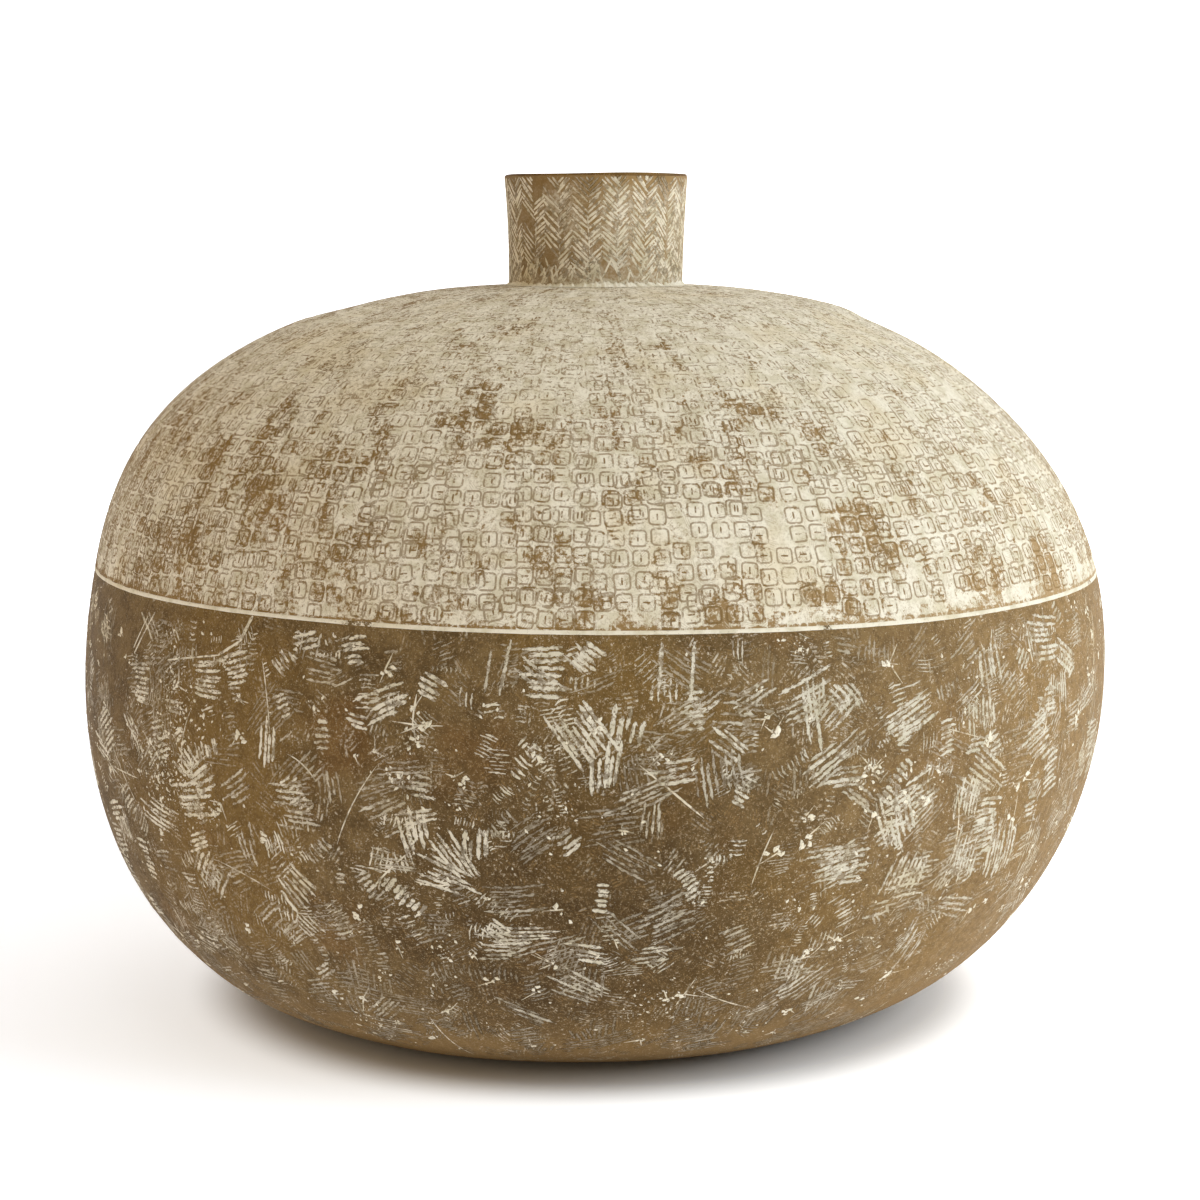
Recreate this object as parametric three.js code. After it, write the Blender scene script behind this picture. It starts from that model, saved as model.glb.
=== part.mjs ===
// A hand-built stoneware vessel: a squat round belly, a low dome over it and a
// short collar for a neck. Millimetres, +Z up. The origin is the centre of the
// foot on the ground, and -Y is the side that faces the viewer.
//
// The vessel is five built pieces and three that tie them together. A wall
// stands on the rim of a floor slab, a dome meets that wall in a bevelled seam
// at the belt, and a collar sits in a rebate on top of the dome. A line of pale
// slip lies in a groove over the belt seam, a bead fills the corner round the
// collar, and two coils are smeared over the seams inside.

import * as THREE from 'three';

// Belly and dome, outside
const bellyRadius = 240;
const bellyHeight = 156;
const footRadius = 124;
const footReach = 62;
const footSlope = 2;
const bellyDrop = 90;
const shoulderRise = 102;
const shoulderReach = 136;
const shoulderSlope = 1.5;
const domeHeight = 334;
const beltHeight = 205.5;

// Clay thicknesses
const wallThickness = 9;
const floorThickness = 11;
const neckWall = 7.5;

// Neck collar
const neckHeight = 51.5;
const neckRadius = 40.5;
const rimFlare = 2;
const lipRounding = 2.2;
const rebateDepth = 3;

// Slip and coils
const inlayWidth = 2;
const inlayDepth = 1.2;
const beadWidth = 5;
const beadHeight = 4;
const beltCoilWidth = 26;
const beltCoilThickness = 5;
const baseCoilWidth = 26;
const baseCoilThickness = 4;

// Seams
const seamGap = 0.3;
const bevelDrop = 4;

// The hand-made lean: the shoulder and the foot sit a little to the left of the
// axis, while the belt and the neck are true to it
const leanHeight = 190;
const footShift = -7.8;
const footCurve = 1.6;
const shoulderShift = -6;
const shoulderEase = 106;
const neckEase = 8;

// Fineness of the facets
const segments = 64;
const rimSteps = 3;
const wallSteps = 10;
const domeSteps = 11;
const neckSteps = 4;
const coilSteps = 3;
const beadSteps = 2;
const lipSteps = 2;

const clay = { color: 0x82684a, roughness: 0.82, metalness: 0 };
const darkClay = { color: 0x6a5238, roughness: 0.86, metalness: 0 };
const stampedClay = { color: 0xb5a37c, roughness: 0.84, metalness: 0 };
const collarClay = { color: 0x9c8660, roughness: 0.84, metalness: 0 };
const paleSlip = { color: 0xd9cfae, roughness: 0.9, metalness: 0 };

const point = (radius, height) => new THREE.Vector2(radius, height);

// The outside of belly and dome is one smooth line from the foot to the neck
function outsideLine() {
  const foot = THREE.MathUtils.degToRad(footSlope);
  const top = THREE.MathUtils.degToRad(shoulderSlope);
  const belly = new THREE.CubicBezierCurve(
    point(footRadius, 0),
    point(footRadius + footReach * Math.cos(foot), footReach * Math.sin(foot)),
    point(bellyRadius, bellyHeight - bellyDrop),
    point(bellyRadius, bellyHeight),
  );
  const dome = new THREE.CubicBezierCurve(
    point(bellyRadius, bellyHeight),
    point(bellyRadius, bellyHeight + shoulderRise),
    point(
      neckRadius + shoulderReach * Math.cos(top),
      domeHeight - shoulderReach * Math.sin(top),
    ),
    point(neckRadius, domeHeight),
  );
  const line = new THREE.CurvePath();
  line.add(belly);
  line.add(dome);
  return line;
}

const outside = outsideLine();
const outsideLength = outside.getLength();

// The share of the line's length at which it has climbed to a height
function stationAt(height, depth = 0) {
  let low = 0;
  let high = 1;
  for (let turn = 0; turn < 40; turn += 1) {
    const middle = (low + high) / 2;
    if (skin(middle, depth).y < height) low = middle;
    else high = middle;
  }
  return (low + high) / 2;
}

// The point that lies under the outside by a depth, square to the surface
function skin(station, depth = 0) {
  const surface = outside.getPoint(station);
  const along = outside.getTangent(station);
  return point(surface.x - depth * along.y, surface.y + depth * along.x);
}

// Points of the wall between two stations, at one depth
function skinRun(from, to, depth, steps) {
  const run = [];
  for (let step = 0; step <= steps; step += 1) {
    run.push(skin(from + ((to - from) * step) / steps, depth));
  }
  return run;
}

const smooth = (share) => THREE.MathUtils.smoothstep(share, 0, 1);

const neckSeat = domeHeight - rebateDepth;
const crownUnderside = domeHeight - wallThickness;

// How far the vessel stands to the side at a height
function lean(height) {
  if (height <= leanHeight) {
    return footShift * ((leanHeight - height) / leanHeight) ** footCurve;
  }
  const leaving = smooth((height - leanHeight) / shoulderEase);
  const closing = smooth((crownUnderside - height) / neckEase);
  return shoulderShift * leaving * closing;
}

// A closed outline turned round the axis, stood upright and given the lean.
// The outline runs anticlockwise, with the radius to the right and height up.
function turned(outline) {
  const geometry = new THREE.LatheGeometry(outline, segments);
  geometry.rotateX(Math.PI / 2);
  const place = geometry.attributes.position;
  for (let index = 0; index < place.count; index += 1) {
    place.setX(index, place.getX(index) + lean(place.getZ(index)));
  }
  geometry.computeVertexNormals();
  return geometry;
}

function piece(name, outline, finish) {
  const mesh = new THREE.Mesh(turned(outline), new THREE.MeshStandardMaterial(finish));
  mesh.name = name;
  return mesh;
}

const closed = (outline) => [...outline, outline[0].clone()];

const beltStation = stationAt(beltHeight);
const wallFoot = floorThickness + seamGap;
const coilDepth = wallThickness + seamGap;

// The groove for the inlay is cut half from each wall
const grooveDepth = inlayDepth + seamGap;
const grooveHalf = inlayWidth / 2 + seamGap;
const halfSeam = seamGap / 2;
const grooveFloorRadius = skin(beltStation, grooveDepth).x;

// The bevelled seam drops from the groove to the inside of the wall, where the
// belt coil covers it on both sides. Each wall has a corner at the coil's edge,
// so that the coil lies evenly on it.
const seamInsideHeight = beltHeight - bevelDrop;
const seamStation = stationAt(seamInsideHeight, wallThickness);
const beltCoilHalf = beltCoilWidth / 2 / outsideLength;
const beltCoilFoot = seamStation - beltCoilHalf;
const beltCoilTop = seamStation + beltCoilHalf;

// The base coil runs up the wall from the corner between wall and floor
const cornerStation = stationAt(wallFoot, wallThickness);
const baseCoilTop = cornerStation + baseCoilWidth / 2 / outsideLength;

// The bead round the collar reaches this far out on the dome
const rebateRadius = neckRadius + seamGap;
const beadStation = domeStation(rebateRadius + beadWidth);

// The station at which the dome has narrowed to a radius
function domeStation(radius) {
  let low = beltStation;
  let high = 1;
  for (let turn = 0; turn < 40; turn += 1) {
    const middle = (low + high) / 2;
    if (outside.getPoint(middle).x > radius) low = middle;
    else high = middle;
  }
  return (low + high) / 2;
}

function baseSlab() {
  const rim = skinRun(0, stationAt(floorThickness), 0, rimSteps);
  return piece(
    'base_slab',
    [point(0, 0), ...rim, point(0, floorThickness)],
    darkClay,
  );
}

function lowerWall() {
  const grooveFoot = stationAt(beltHeight - grooveHalf);
  const bevelTop = skin(stationAt(seamInsideHeight - halfSeam, wallThickness), wallThickness);
  const inside = [
    ...skinRun(beltCoilFoot, baseCoilTop, wallThickness, wallSteps),
    ...skinRun(baseCoilTop, cornerStation, wallThickness, coilSteps).slice(1, -1),
  ];
  return piece(
    'lower_wall',
    closed([
      ...skinRun(stationAt(wallFoot), grooveFoot, 0, wallSteps),
      point(grooveFloorRadius, beltHeight - grooveHalf),
      point(grooveFloorRadius, beltHeight - halfSeam),
      bevelTop,
      ...inside,
      point(skin(cornerStation, wallThickness).x, wallFoot),
    ]),
    clay,
  );
}

function upperWall() {
  const boreRadius = neckRadius - neckWall;
  const grooveTop = stationAt(beltHeight + grooveHalf);
  const bevelFoot = skin(stationAt(seamInsideHeight + halfSeam, wallThickness), wallThickness);
  return piece(
    'upper_wall',
    closed([
      ...skinRun(grooveTop, beadStation, 0, domeSteps),
      point(rebateRadius, domeHeight),
      point(rebateRadius, neckSeat),
      point(boreRadius, neckSeat),
      point(boreRadius, crownUnderside),
      ...skinRun(1, beltCoilTop, wallThickness, domeSteps),
      bevelFoot,
      point(grooveFloorRadius, beltHeight + halfSeam),
      point(grooveFloorRadius, beltHeight + grooveHalf),
    ]),
    stampedClay,
  );
}

// The collar stands in the rebate and opens slightly towards its lip
function neckCollar() {
  const foot = neckSeat + seamGap;
  const rim = domeHeight + neckHeight;
  const rimRadius = neckRadius + rimFlare;
  const lipHeight = rim - lipRounding;
  const outer = new THREE.QuadraticBezierCurve(
    point(neckRadius, domeHeight),
    point(neckRadius, domeHeight + neckHeight / 2),
    point(rimRadius, lipHeight),
  ).getPoints(neckSteps);
  const bore = outer.map((place) => point(place.x - neckWall, place.y)).reverse();
  return piece(
    'neck_collar',
    closed([
      point(neckRadius, foot),
      ...outer.slice(0, -1),
      ...lipCorner(rimRadius - lipRounding, lipHeight, 0),
      ...lipCorner(rimRadius - neckWall + lipRounding, lipHeight, 90),
      ...bore.slice(1),
      point(neckRadius - neckWall, foot),
    ]),
    collarClay,
  );
}

// A quarter turn of the rounded lip, from an angle in degrees
function lipCorner(radius, height, from) {
  const turns = [];
  for (let step = 0; step <= lipSteps; step += 1) {
    const angle = THREE.MathUtils.degToRad(from + (90 * step) / lipSteps);
    turns.push(point(
      radius + lipRounding * Math.cos(angle),
      height + lipRounding * Math.sin(angle),
    ));
  }
  return turns;
}

function beltSlipInlay() {
  const face = skin(beltStation).x;
  const low = beltHeight - inlayWidth / 2;
  const high = beltHeight + inlayWidth / 2;
  const back = grooveFloorRadius + seamGap;
  return piece(
    'belt_slip_inlay',
    closed([point(back, low), point(face, low), point(face, high), point(back, high)]),
    paleSlip,
  );
}

// The bead lies on the dome and against the collar, with a hollow face
function neckFillet() {
  const outerFoot = skin(beadStation, -seamGap);
  const innerFoot = point(rebateRadius, domeHeight + seamGap);
  const hollow = point(
    rebateRadius + beadWidth / 3,
    innerFoot.y + beadHeight / 3,
  );
  const top = point(rebateRadius, innerFoot.y + beadHeight);
  const face = new THREE.QuadraticBezierCurve(outerFoot, hollow, top).getPoints(beadSteps);
  return piece('neck_fillet', closed([innerFoot, ...face]), paleSlip);
}

// A coil smeared over a seam: it swells to the inside between its two edges
function coilFace(start, end, thickness) {
  const middle = start.clone().add(end).multiplyScalar(0.5);
  const across = end.clone().sub(start).normalize();
  const swell = point(
    middle.x - across.y * 2 * thickness,
    middle.y + across.x * 2 * thickness,
  );
  return new THREE.QuadraticBezierCurve(end, swell, start).getPoints(coilSteps).slice(1, -1);
}

function beltSeamCoil() {
  const back = [beltCoilFoot, seamStation, beltCoilTop].map((at) => skin(at, coilDepth));
  const face = coilFace(back[0], back[2], beltCoilThickness);
  return piece('belt_seam_coil', closed([...back, ...face]), darkClay);
}

function baseSeamCoil() {
  const [corner, ...back] = skinRun(cornerStation, baseCoilTop, coilDepth, coilSteps);
  const toe = point(corner.x - baseCoilWidth / 2, wallFoot);
  const heel = point(corner.x - seamGap, wallFoot);
  const face = coilFace(toe, back[back.length - 1], baseCoilThickness);
  return piece('base_seam_coil', closed([toe, heel, ...back, ...face]), darkClay);
}

const vessel = new THREE.Group();
vessel.add(
  baseSlab(),
  lowerWall(),
  upperWall(),
  neckCollar(),
  beltSlipInlay(),
  neckFillet(),
  beltSeamCoil(),
  baseSeamCoil(),
);

export default vessel;
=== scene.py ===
# %% [markdown]
# A hand-built stoneware vessel. Its parts at real size, its seams and its foot
# come from the packed model, which is loaded here as a fixed frame. This script
# gives the vessel its surface: brown clay, pale slip rubbed into stamped squares
# on the dome, comb strokes on the belly and a herringbone on the collar.
# Everything is in metres, +Z up, and the viewer stands on the -Y side.

import math
import random
from collections import namedtuple

import bpy
import numpy as np
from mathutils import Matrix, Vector, noise


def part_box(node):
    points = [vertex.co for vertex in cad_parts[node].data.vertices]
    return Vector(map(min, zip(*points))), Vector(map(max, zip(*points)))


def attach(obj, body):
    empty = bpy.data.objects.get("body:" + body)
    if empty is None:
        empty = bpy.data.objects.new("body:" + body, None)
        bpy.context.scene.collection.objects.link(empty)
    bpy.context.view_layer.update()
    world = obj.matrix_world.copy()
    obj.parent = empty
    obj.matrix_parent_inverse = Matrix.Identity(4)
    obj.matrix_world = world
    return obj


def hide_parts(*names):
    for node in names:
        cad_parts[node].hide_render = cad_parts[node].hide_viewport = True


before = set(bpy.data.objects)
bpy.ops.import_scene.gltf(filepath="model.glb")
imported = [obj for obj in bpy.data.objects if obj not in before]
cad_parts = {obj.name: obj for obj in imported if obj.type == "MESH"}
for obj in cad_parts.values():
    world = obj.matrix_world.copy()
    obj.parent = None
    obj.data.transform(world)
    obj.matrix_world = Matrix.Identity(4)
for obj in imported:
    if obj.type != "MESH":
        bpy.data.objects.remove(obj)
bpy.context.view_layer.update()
scene = bpy.context.scene
MM = 0.001
print("nodes in the frame:", sorted(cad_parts))

# %% [markdown]
# The camera comes first. A long lens a good metre away, a little above the
# belly and tipped down, gives the flattened oval of the belt line and hides the
# top of the lip. Its distance and lens were worked out from the outline of the
# vessel: a nearer camera would bow the belt line more.

# %% Camera
CAMERA_DISTANCE = 1.2554
CAMERA_HEIGHT = 0.3668
CAMERA_SIDE = 0.0019
CAMERA_PITCH = 0.1442
LENS = 79.7

camera = bpy.data.objects.new("camera", bpy.data.cameras.new("camera"))
camera.data.lens = LENS
camera.data.sensor_width = 36
camera.location = (CAMERA_SIDE, -CAMERA_DISTANCE, CAMERA_HEIGHT)
camera.rotation_euler = (math.pi / 2 - CAMERA_PITCH, 0, 0)
scene.collection.objects.link(camera)
scene.camera = camera
print("camera at", tuple(camera.location), "lens", LENS)

# %% [markdown]
# The studio is a paper sweep, a pale floor that curves up behind the vessel. A
# large cool light stands high on the right, a weak warm one on the left, and a
# soft panel hangs overhead. A pale warm room fills the shadows. The paper glows
# a little by itself, least under the vessel and less on its left, which paints
# shade there. It is tinted cool on the left to take out the warm lamp's colour.
# The plain view transform keeps it white. Stronger lamps would whiten it too,
# but they would bleach the slip.

# %% Wiring helper for node trees


class Wires:
    """Adds nodes to a tree and joins them, so that a tree reads like a sum."""

    def __init__(self, tree):
        self.tree = tree

    def add(self, kind, inputs=None, out=0, **settings):
        node = self.tree.nodes.new(kind)
        for name, value in settings.items():
            setattr(node, name, value)
        for key, value in (inputs or {}).items():
            self.feed(node.inputs[key], value)
        return node if out is None else node.outputs[out]

    def feed(self, socket, value):
        if isinstance(value, bpy.types.NodeSocket):
            self.tree.links.new(value, socket)
        else:
            socket.default_value = value

    def math(self, operation, a, b=0.0, c=0.0):
        return self.add("ShaderNodeMath", {0: a, 1: b, 2: c}, operation=operation)

    def chain(self, operation, first, others):
        for other in others:
            first = self.math(operation, first, other)
        return first

    def plus(self, first, *others):
        return self.chain("ADD", first, others)

    def times(self, first, *others):
        return self.chain("MULTIPLY", first, others)

    def most(self, first, *others):
        return self.chain("MAXIMUM", first, others)

    def minus(self, a, b):
        return self.math("SUBTRACT", a, b)

    def times_plus(self, a, b, c):
        """The product of a and b, with c added."""
        return self.math("MULTIPLY_ADD", a, b, c)

    def step(self, value, low, high, to_low=0.0, to_high=1.0):
        """A soft step: to_low under low, to_high over high."""
        keys = {"Value": value, "From Min": low, "From Max": high}
        keys.update({"To Min": to_low, "To Max": to_high})
        return self.add("ShaderNodeMapRange", keys, interpolation_type="SMOOTHSTEP")

    def vector(self, operation, a, b=(0, 0, 0), out=0):
        return self.add("ShaderNodeVectorMath", {0: a, 1: b}, out=out, operation=operation)

    def scaled(self, a, size):
        return self.add("ShaderNodeVectorMath", {0: a, "Scale": size}, operation="SCALE")

    def distance(self, a, b):
        return self.vector("DISTANCE", a, b, out="Value")

    def parts(self, place):
        """The three parts of a place: how far right, how far away and how high."""
        return self.add("ShaderNodeSeparateXYZ", {0: place}, out=None).outputs

    def point(self, right=0.0, away=0.0, up=0.0):
        return self.add("ShaderNodeCombineXYZ", {0: right, 1: away, 2: up})

    def blend(self, share, a, b, how="MIX"):
        node = self.add("ShaderNodeMix", out=None, data_type="RGBA", blend_type=how)
        self.feed(node.inputs[0], share)
        self.feed(node.inputs[6], a)
        self.feed(node.inputs[7], b)
        return node.outputs[2]

    def noise(self, place, scale, detail=2.0, roughness=0.5):
        keys = {"Vector": place, "Scale": scale, "Detail": detail, "Roughness": roughness}
        return self.add("ShaderNodeTexNoise", keys)

    def patches(self, place, grain, step):
        """Noise (its scale, detail and roughness) cut into patches by a soft step."""
        return self.step(self.noise(place, *grain), *step)


print("node trees are made by:", [name for name in vars(Wires) if not name.startswith("_")])

# %% A helper for colours


def colour(red, green, blue):
    """A colour given as screen values from 0 to 255."""
    linear = []
    for value in (red, green, blue):
        share = value / 255
        linear.append(share / 12.92 if share <= 0.04045 else ((share + 0.055) / 1.055) ** 2.4)
    return (*linear, 1.0)


print("the screen's mid grey is", round(colour(128, 128, 128)[0], 3), "in the scene's light")

# %% Studio sweep
SWEEP_WIDTH = 8.0
SWEEP_FRONT = -2.5
SWEEP_BACK = 2.6
SWEEP_BEND = 1.2
SWEEP_HEIGHT = 3.2
BEND_STEPS = 12
WHITE_PAPER = colour(245, 245, 247)
# The left of the paper is tinted cool, a painted counter to the warm light of the left lamp.
COOL_PAPER = colour(231, 235, 250)


def sweep_mesh():
    line = [(SWEEP_FRONT, 0.0)]
    for turn in range(BEND_STEPS + 1):
        angle = math.pi / 2 * turn / BEND_STEPS
        away = SWEEP_BACK - SWEEP_BEND + SWEEP_BEND * math.sin(angle)
        line.append((away, SWEEP_BEND * (1 - math.cos(angle))))
    line.append((SWEEP_BACK, SWEEP_HEIGHT))
    half = SWEEP_WIDTH / 2
    points = [(side, away, up) for away, up in line for side in (-half, half)]
    faces = [(2 * i, 2 * i + 1, 2 * i + 3, 2 * i + 2) for i in range(len(line) - 1)]
    mesh = bpy.data.meshes.new("sweep")
    mesh.from_pydata(points, [], faces)
    mesh.shade_smooth()
    return mesh


def sweep_material():
    """Glowing paper: painted shade under the vessel and on the left, a cool tint against the left
    lamp.
    """
    material = bpy.data.materials.new("sweep paper")
    material.use_nodes = True
    shader = material.node_tree.nodes["Principled BSDF"]
    shader.inputs["Roughness"].default_value = 0.9
    shader.inputs["Emission Color"].default_value = (1, 1, 1, 1)
    wires = Wires(material.node_tree)
    place = wires.add("ShaderNodeTexCoord", out="Object")
    side = wires.parts(place)[0]
    away = wires.vector("LENGTH", place, out="Value")
    paper = wires.blend(wires.step(side, -0.5, 0.2, 1, 0), WHITE_PAPER, COOL_PAPER)
    wires.feed(shader.inputs["Base Color"], paper)
    # Painted shade: the glow fades out under the vessel, and the shade factor dims it on the left.
    near = wires.step(away, 0.16, 0.2, 0, 0.62)
    far = wires.step(away, 0.45, 1.6, 0, 0.4)
    shade = wires.step(side, -0.4, 0.15, 0.7, 1.06)
    wires.feed(shader.inputs["Emission Strength"], wires.times(wires.plus(near, far), shade))
    return material


sweep = bpy.data.objects.new("sweep", sweep_mesh())
sweep.data.materials.append(sweep_material())
scene.collection.objects.link(sweep)
print("sweep:", len(sweep.data.polygons), "faces")

# %% Lights and the room
AIM = Vector((0, 0, 0.18))
# The name, place, size, power in watts and tint of each lamp.
LAMPS = (
    ("right window", (1.85, -0.85, 1.2), (1.2, 1.2), 34.5, (0.79, 0.905, 1)),
    ("top panel", (0.3, -0.4, 1.9), (1.6, 1.6), 8, (1, 0.99, 0.97)),
    ("left wall", (-1.8, -0.7, 0.75), (1.4, 1.2), 6, (1, 0.75, 0.45)),
)
ROOM_TINT = (1, 0.89, 0.68, 1)
ROOM_STRENGTH = 0.4


def soft_light(name, place, size, power, tint):
    light = bpy.data.lights.new(name, "AREA")
    light.shape = "RECTANGLE"
    light.size, light.size_y = size
    light.energy = power
    light.color = tint
    lamp = bpy.data.objects.new(name, light)
    lamp.location = place
    lamp.rotation_euler = (AIM - Vector(place)).to_track_quat("-Z", "Y").to_euler()
    scene.collection.objects.link(lamp)


for lamp in LAMPS:
    soft_light(*lamp)

room = bpy.data.worlds.new("white room")
scene.world = room
room.use_nodes = True
background = room.node_tree.nodes["Background"]
background.inputs["Color"].default_value = ROOM_TINT
background.inputs["Strength"].default_value = ROOM_STRENGTH
scene.view_settings.view_transform = "Standard"

# %% [markdown]
# Clay walls. The outside of belly and dome is one smooth line, turned round the
# axis. Two Bezier curves draw it: one from the foot to the widest part and one
# from there to the neck. Many points could follow the line too, but two curves
# stay smooth and are set by a few sizes. A vessel built by hand isn't quite
# true, so the whole leans a little to the left at the shoulder and at the foot,
# and the wall carries slow swellings less than a millimetre high.

# %% Sizes of the vessel
BELLY_RADIUS = 240 * MM
BELLY_HEIGHT = 156 * MM
FOOT_RADIUS = 124 * MM
FOOT_REACH = 62 * MM
FOOT_SLOPE = math.radians(2)
BELLY_DROP = 90 * MM
SHOULDER_RISE = 102 * MM
SHOULDER_REACH = 136 * MM
SHOULDER_SLOPE = math.radians(1.5)
WALL = 9 * MM
COLLAR_WALL = 7.5 * MM
COLLAR_RADIUS = 40.5 * MM
LIP_ROUNDING = 1.3 * MM

inlay_low, inlay_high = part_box("belt_slip_inlay")
collar_low, collar_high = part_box("neck_collar")
BELT_HEIGHT = (inlay_low.z + inlay_high.z) / 2
DOME_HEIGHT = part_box("upper_wall")[1].z
FLOOR_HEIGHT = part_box("lower_wall")[0].z
RIM_HEIGHT = collar_high.z
RIM_RADIUS = (collar_high.x - collar_low.x) / 2

LEAN_HEIGHT = 190 * MM
FOOT_SHIFT = -7.8 * MM
FOOT_CURVE = 1.6
SHOULDER_SHIFT = -6 * MM
SHOULDER_EASE = 106 * MM
NECK_EASE = 8 * MM
print(f"belly radius {BELLY_RADIUS:.4f}, belt {BELT_HEIGHT:.4f}, rim {RIM_HEIGHT:.4f}")

# %% The outline
OUTLINE_STEPS = 400


def bezier(points, share):
    a, b, c, d = (np.array(point) for point in points)
    t = np.asarray(share)[:, None]
    return (1 - t) ** 3 * a + 3 * (1 - t) ** 2 * t * b + 3 * (1 - t) * t * t * c + t**3 * d


def outline():
    """Radius and height along the outside, from foot to neck."""
    share = np.linspace(0, 1, OUTLINE_STEPS)
    foot_handle = (
        FOOT_RADIUS + FOOT_REACH * math.cos(FOOT_SLOPE),
        FOOT_REACH * math.sin(FOOT_SLOPE),
    )
    neck_handle = (
        COLLAR_RADIUS + SHOULDER_REACH * math.cos(SHOULDER_SLOPE),
        DOME_HEIGHT - SHOULDER_REACH * math.sin(SHOULDER_SLOPE),
    )
    widest = (BELLY_RADIUS, BELLY_HEIGHT)
    below = (BELLY_RADIUS, BELLY_HEIGHT - BELLY_DROP)
    above = (BELLY_RADIUS, BELLY_HEIGHT + SHOULDER_RISE)
    belly = bezier(((FOOT_RADIUS, 0), foot_handle, below, widest), share)
    dome = bezier((widest, above, neck_handle, (COLLAR_RADIUS, DOME_HEIGHT)), share)
    return np.concatenate([belly, dome[1:]])


OUTLINE = outline()
STATIONS = np.concatenate([[0], np.cumsum(np.hypot(*np.diff(OUTLINE, axis=0).T))])


def outside(station):
    """Radius and height at a distance along the outline."""
    return np.stack([np.interp(station, STATIONS, OUTLINE[:, k]) for k in (0, 1)], -1)


def radius_at(station):
    return float(outside(np.array(station))[0])


def under(station, depth):
    """The point under the outside by a depth, square to the surface."""
    along = outside(station + MM) - outside(station - MM)
    along /= np.linalg.norm(along, axis=-1, keepdims=True)
    inward = np.stack([-along[..., 1], along[..., 0]], -1)
    return outside(station) + np.asarray(depth)[..., None] * inward


def station_at(height, depth=0.0):
    """Where the line that lies under the outside by a depth reaches a height."""
    return float(np.interp(height, under(STATIONS, depth)[:, 1], STATIONS))


FOOT_STATION = station_at(FLOOR_HEIGHT)
BELT_STATION = station_at(BELT_HEIGHT)
NECK_STATION = float(STATIONS[-1])
print(f"outline {NECK_STATION:.3f} m long, belt at {BELT_STATION:.3f} m")

# %% The lean


def soft(share):
    """A soft step from 0 to 1."""
    share = np.clip(share, 0, 1)
    return share * share * (3 - 2 * share)


def lean(height):
    """How far to the right the middle of the vessel stands at a height."""
    low = FOOT_SHIFT * np.clip((LEAN_HEIGHT - height) / LEAN_HEIGHT, 0, 1) ** FOOT_CURVE
    leaving = soft((height - LEAN_HEIGHT) / SHOULDER_EASE)
    closing = soft((DOME_HEIGHT - WALL - height) / NECK_EASE)
    return low + SHOULDER_SHIFT * leaving * closing


print("lean at the floor and the shoulder:", lean(0.0), lean(DOME_HEIGHT - 2 * WALL))

# %% [markdown]
# The walls as meshes. Each wall is a stack of rings joined into a closed skin:
# up the outside, over its edge and down the inside, so it has the thickness of
# the real clay. A Spin modifier could turn the outline too, but rings computed
# one by one can also carry the lean, the swellings and the drifting belt line.

# %% Slow swellings and the drift of the belt line
AROUND = 384
BELT_TILT = -0.0058
SWELL_SEED = 11
SWELL_WAVES = 12
SWELL_FADE = 60 * MM

dice = random.Random(SWELL_SEED)
# Turns round the axis, climbs up the wall, size and start of each wave.
WAVES = [
    (dice.randint(2, 9), dice.uniform(10, 60), dice.uniform(0.05, 0.12) * MM, dice.random() * 6.3)
    for _ in range(SWELL_WAVES)
]


def turns_of(count):
    """Even turns round the axis, in radians."""
    return np.arange(count) * math.tau / count


def swell(turn, station):
    """How far the wall stands out of true, as a sum of slow waves."""
    height = 0 * turn
    for turns, climbs, size, start in WAVES:
        height = height + size * np.cos(turns * turn + start) * np.cos(climbs * station + start)
    return height * soft(station / SWELL_FADE) * soft((NECK_STATION - station) / SWELL_FADE)


def belt_drift(turn):
    """How far the belt line runs above its even height, as it is drawn by hand."""
    wobble = 0.25 * MM * np.sin(3 * turn + 1) + 0.12 * MM * np.sin(8 * turn)
    return BELT_TILT * BELLY_RADIUS * np.cos(turn) + wobble


def stand(radius, height, turn):
    """Points at a radius, a height and a turn round the axis, with the lean."""
    across = radius * np.cos(turn) + lean(height)
    return np.stack([across, radius * np.sin(turn), height + 0 * turn], -1)


def wall_points(turn, station, rise=0.0):
    """Points on the outside of belly and dome, raised by a height over it."""
    place = under(station, -rise - swell(turn, station))
    return stand(place[..., 0], place[..., 1], turn)


TURNS = turns_of(AROUND)
tallest = max(float(np.abs(swell(TURNS, NECK_STATION * k / 40)).max()) for k in range(40))
print(f"the wall swells by up to {tallest / MM:.2f} mm")

# %% Rings and skins
SHARP_EDGE = math.radians(38)


def outer_ring(station, rise=0.0, follow=0.0):
    """A ring on the outside. With follow at 1 it runs along with the belt line."""
    return wall_points(TURNS, station + follow * belt_drift(TURNS), rise)


def inner_ring(station, depth=WALL, follow=0.0):
    place = under(station + follow * belt_drift(TURNS), depth)
    return stand(place[..., 0], place[..., 1], TURNS)


def plain_ring(radius, height, turns=TURNS):
    return stand(radius + 0 * turns, np.full_like(turns, height), turns)


def skin(name, rings, poles=()):
    """A closed mesh from rings that go up the outside and down the inside.

    With two poles, the first and the last ring are closed by a fan each.
    """
    count = len(rings)
    around = len(rings[0])
    column = np.arange(around)
    after = (column + 1) % around
    faces = []
    for row in range(count - 1 if poles else count):
        here = row * around
        above = (row + 1) % count * around
        band = [here + column, here + after, above + after, above + column]
        faces.extend(np.stack(band, -1).tolist())
    points = np.concatenate([*rings, *[np.array(pole)[None] for pole in poles]])
    if poles:
        foot = np.full(around, count * around)
        top = (count - 1) * around
        faces.extend(np.stack([foot, after, column], -1).tolist())
        faces.extend(np.stack([foot + 1, top + column, top + after], -1).tolist())
    mesh = bpy.data.meshes.new(name)
    mesh.from_pydata(points.tolist(), [], faces)
    mesh.shade_smooth()
    mesh.set_sharp_from_angle(angle=SHARP_EDGE)
    return mesh


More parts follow.
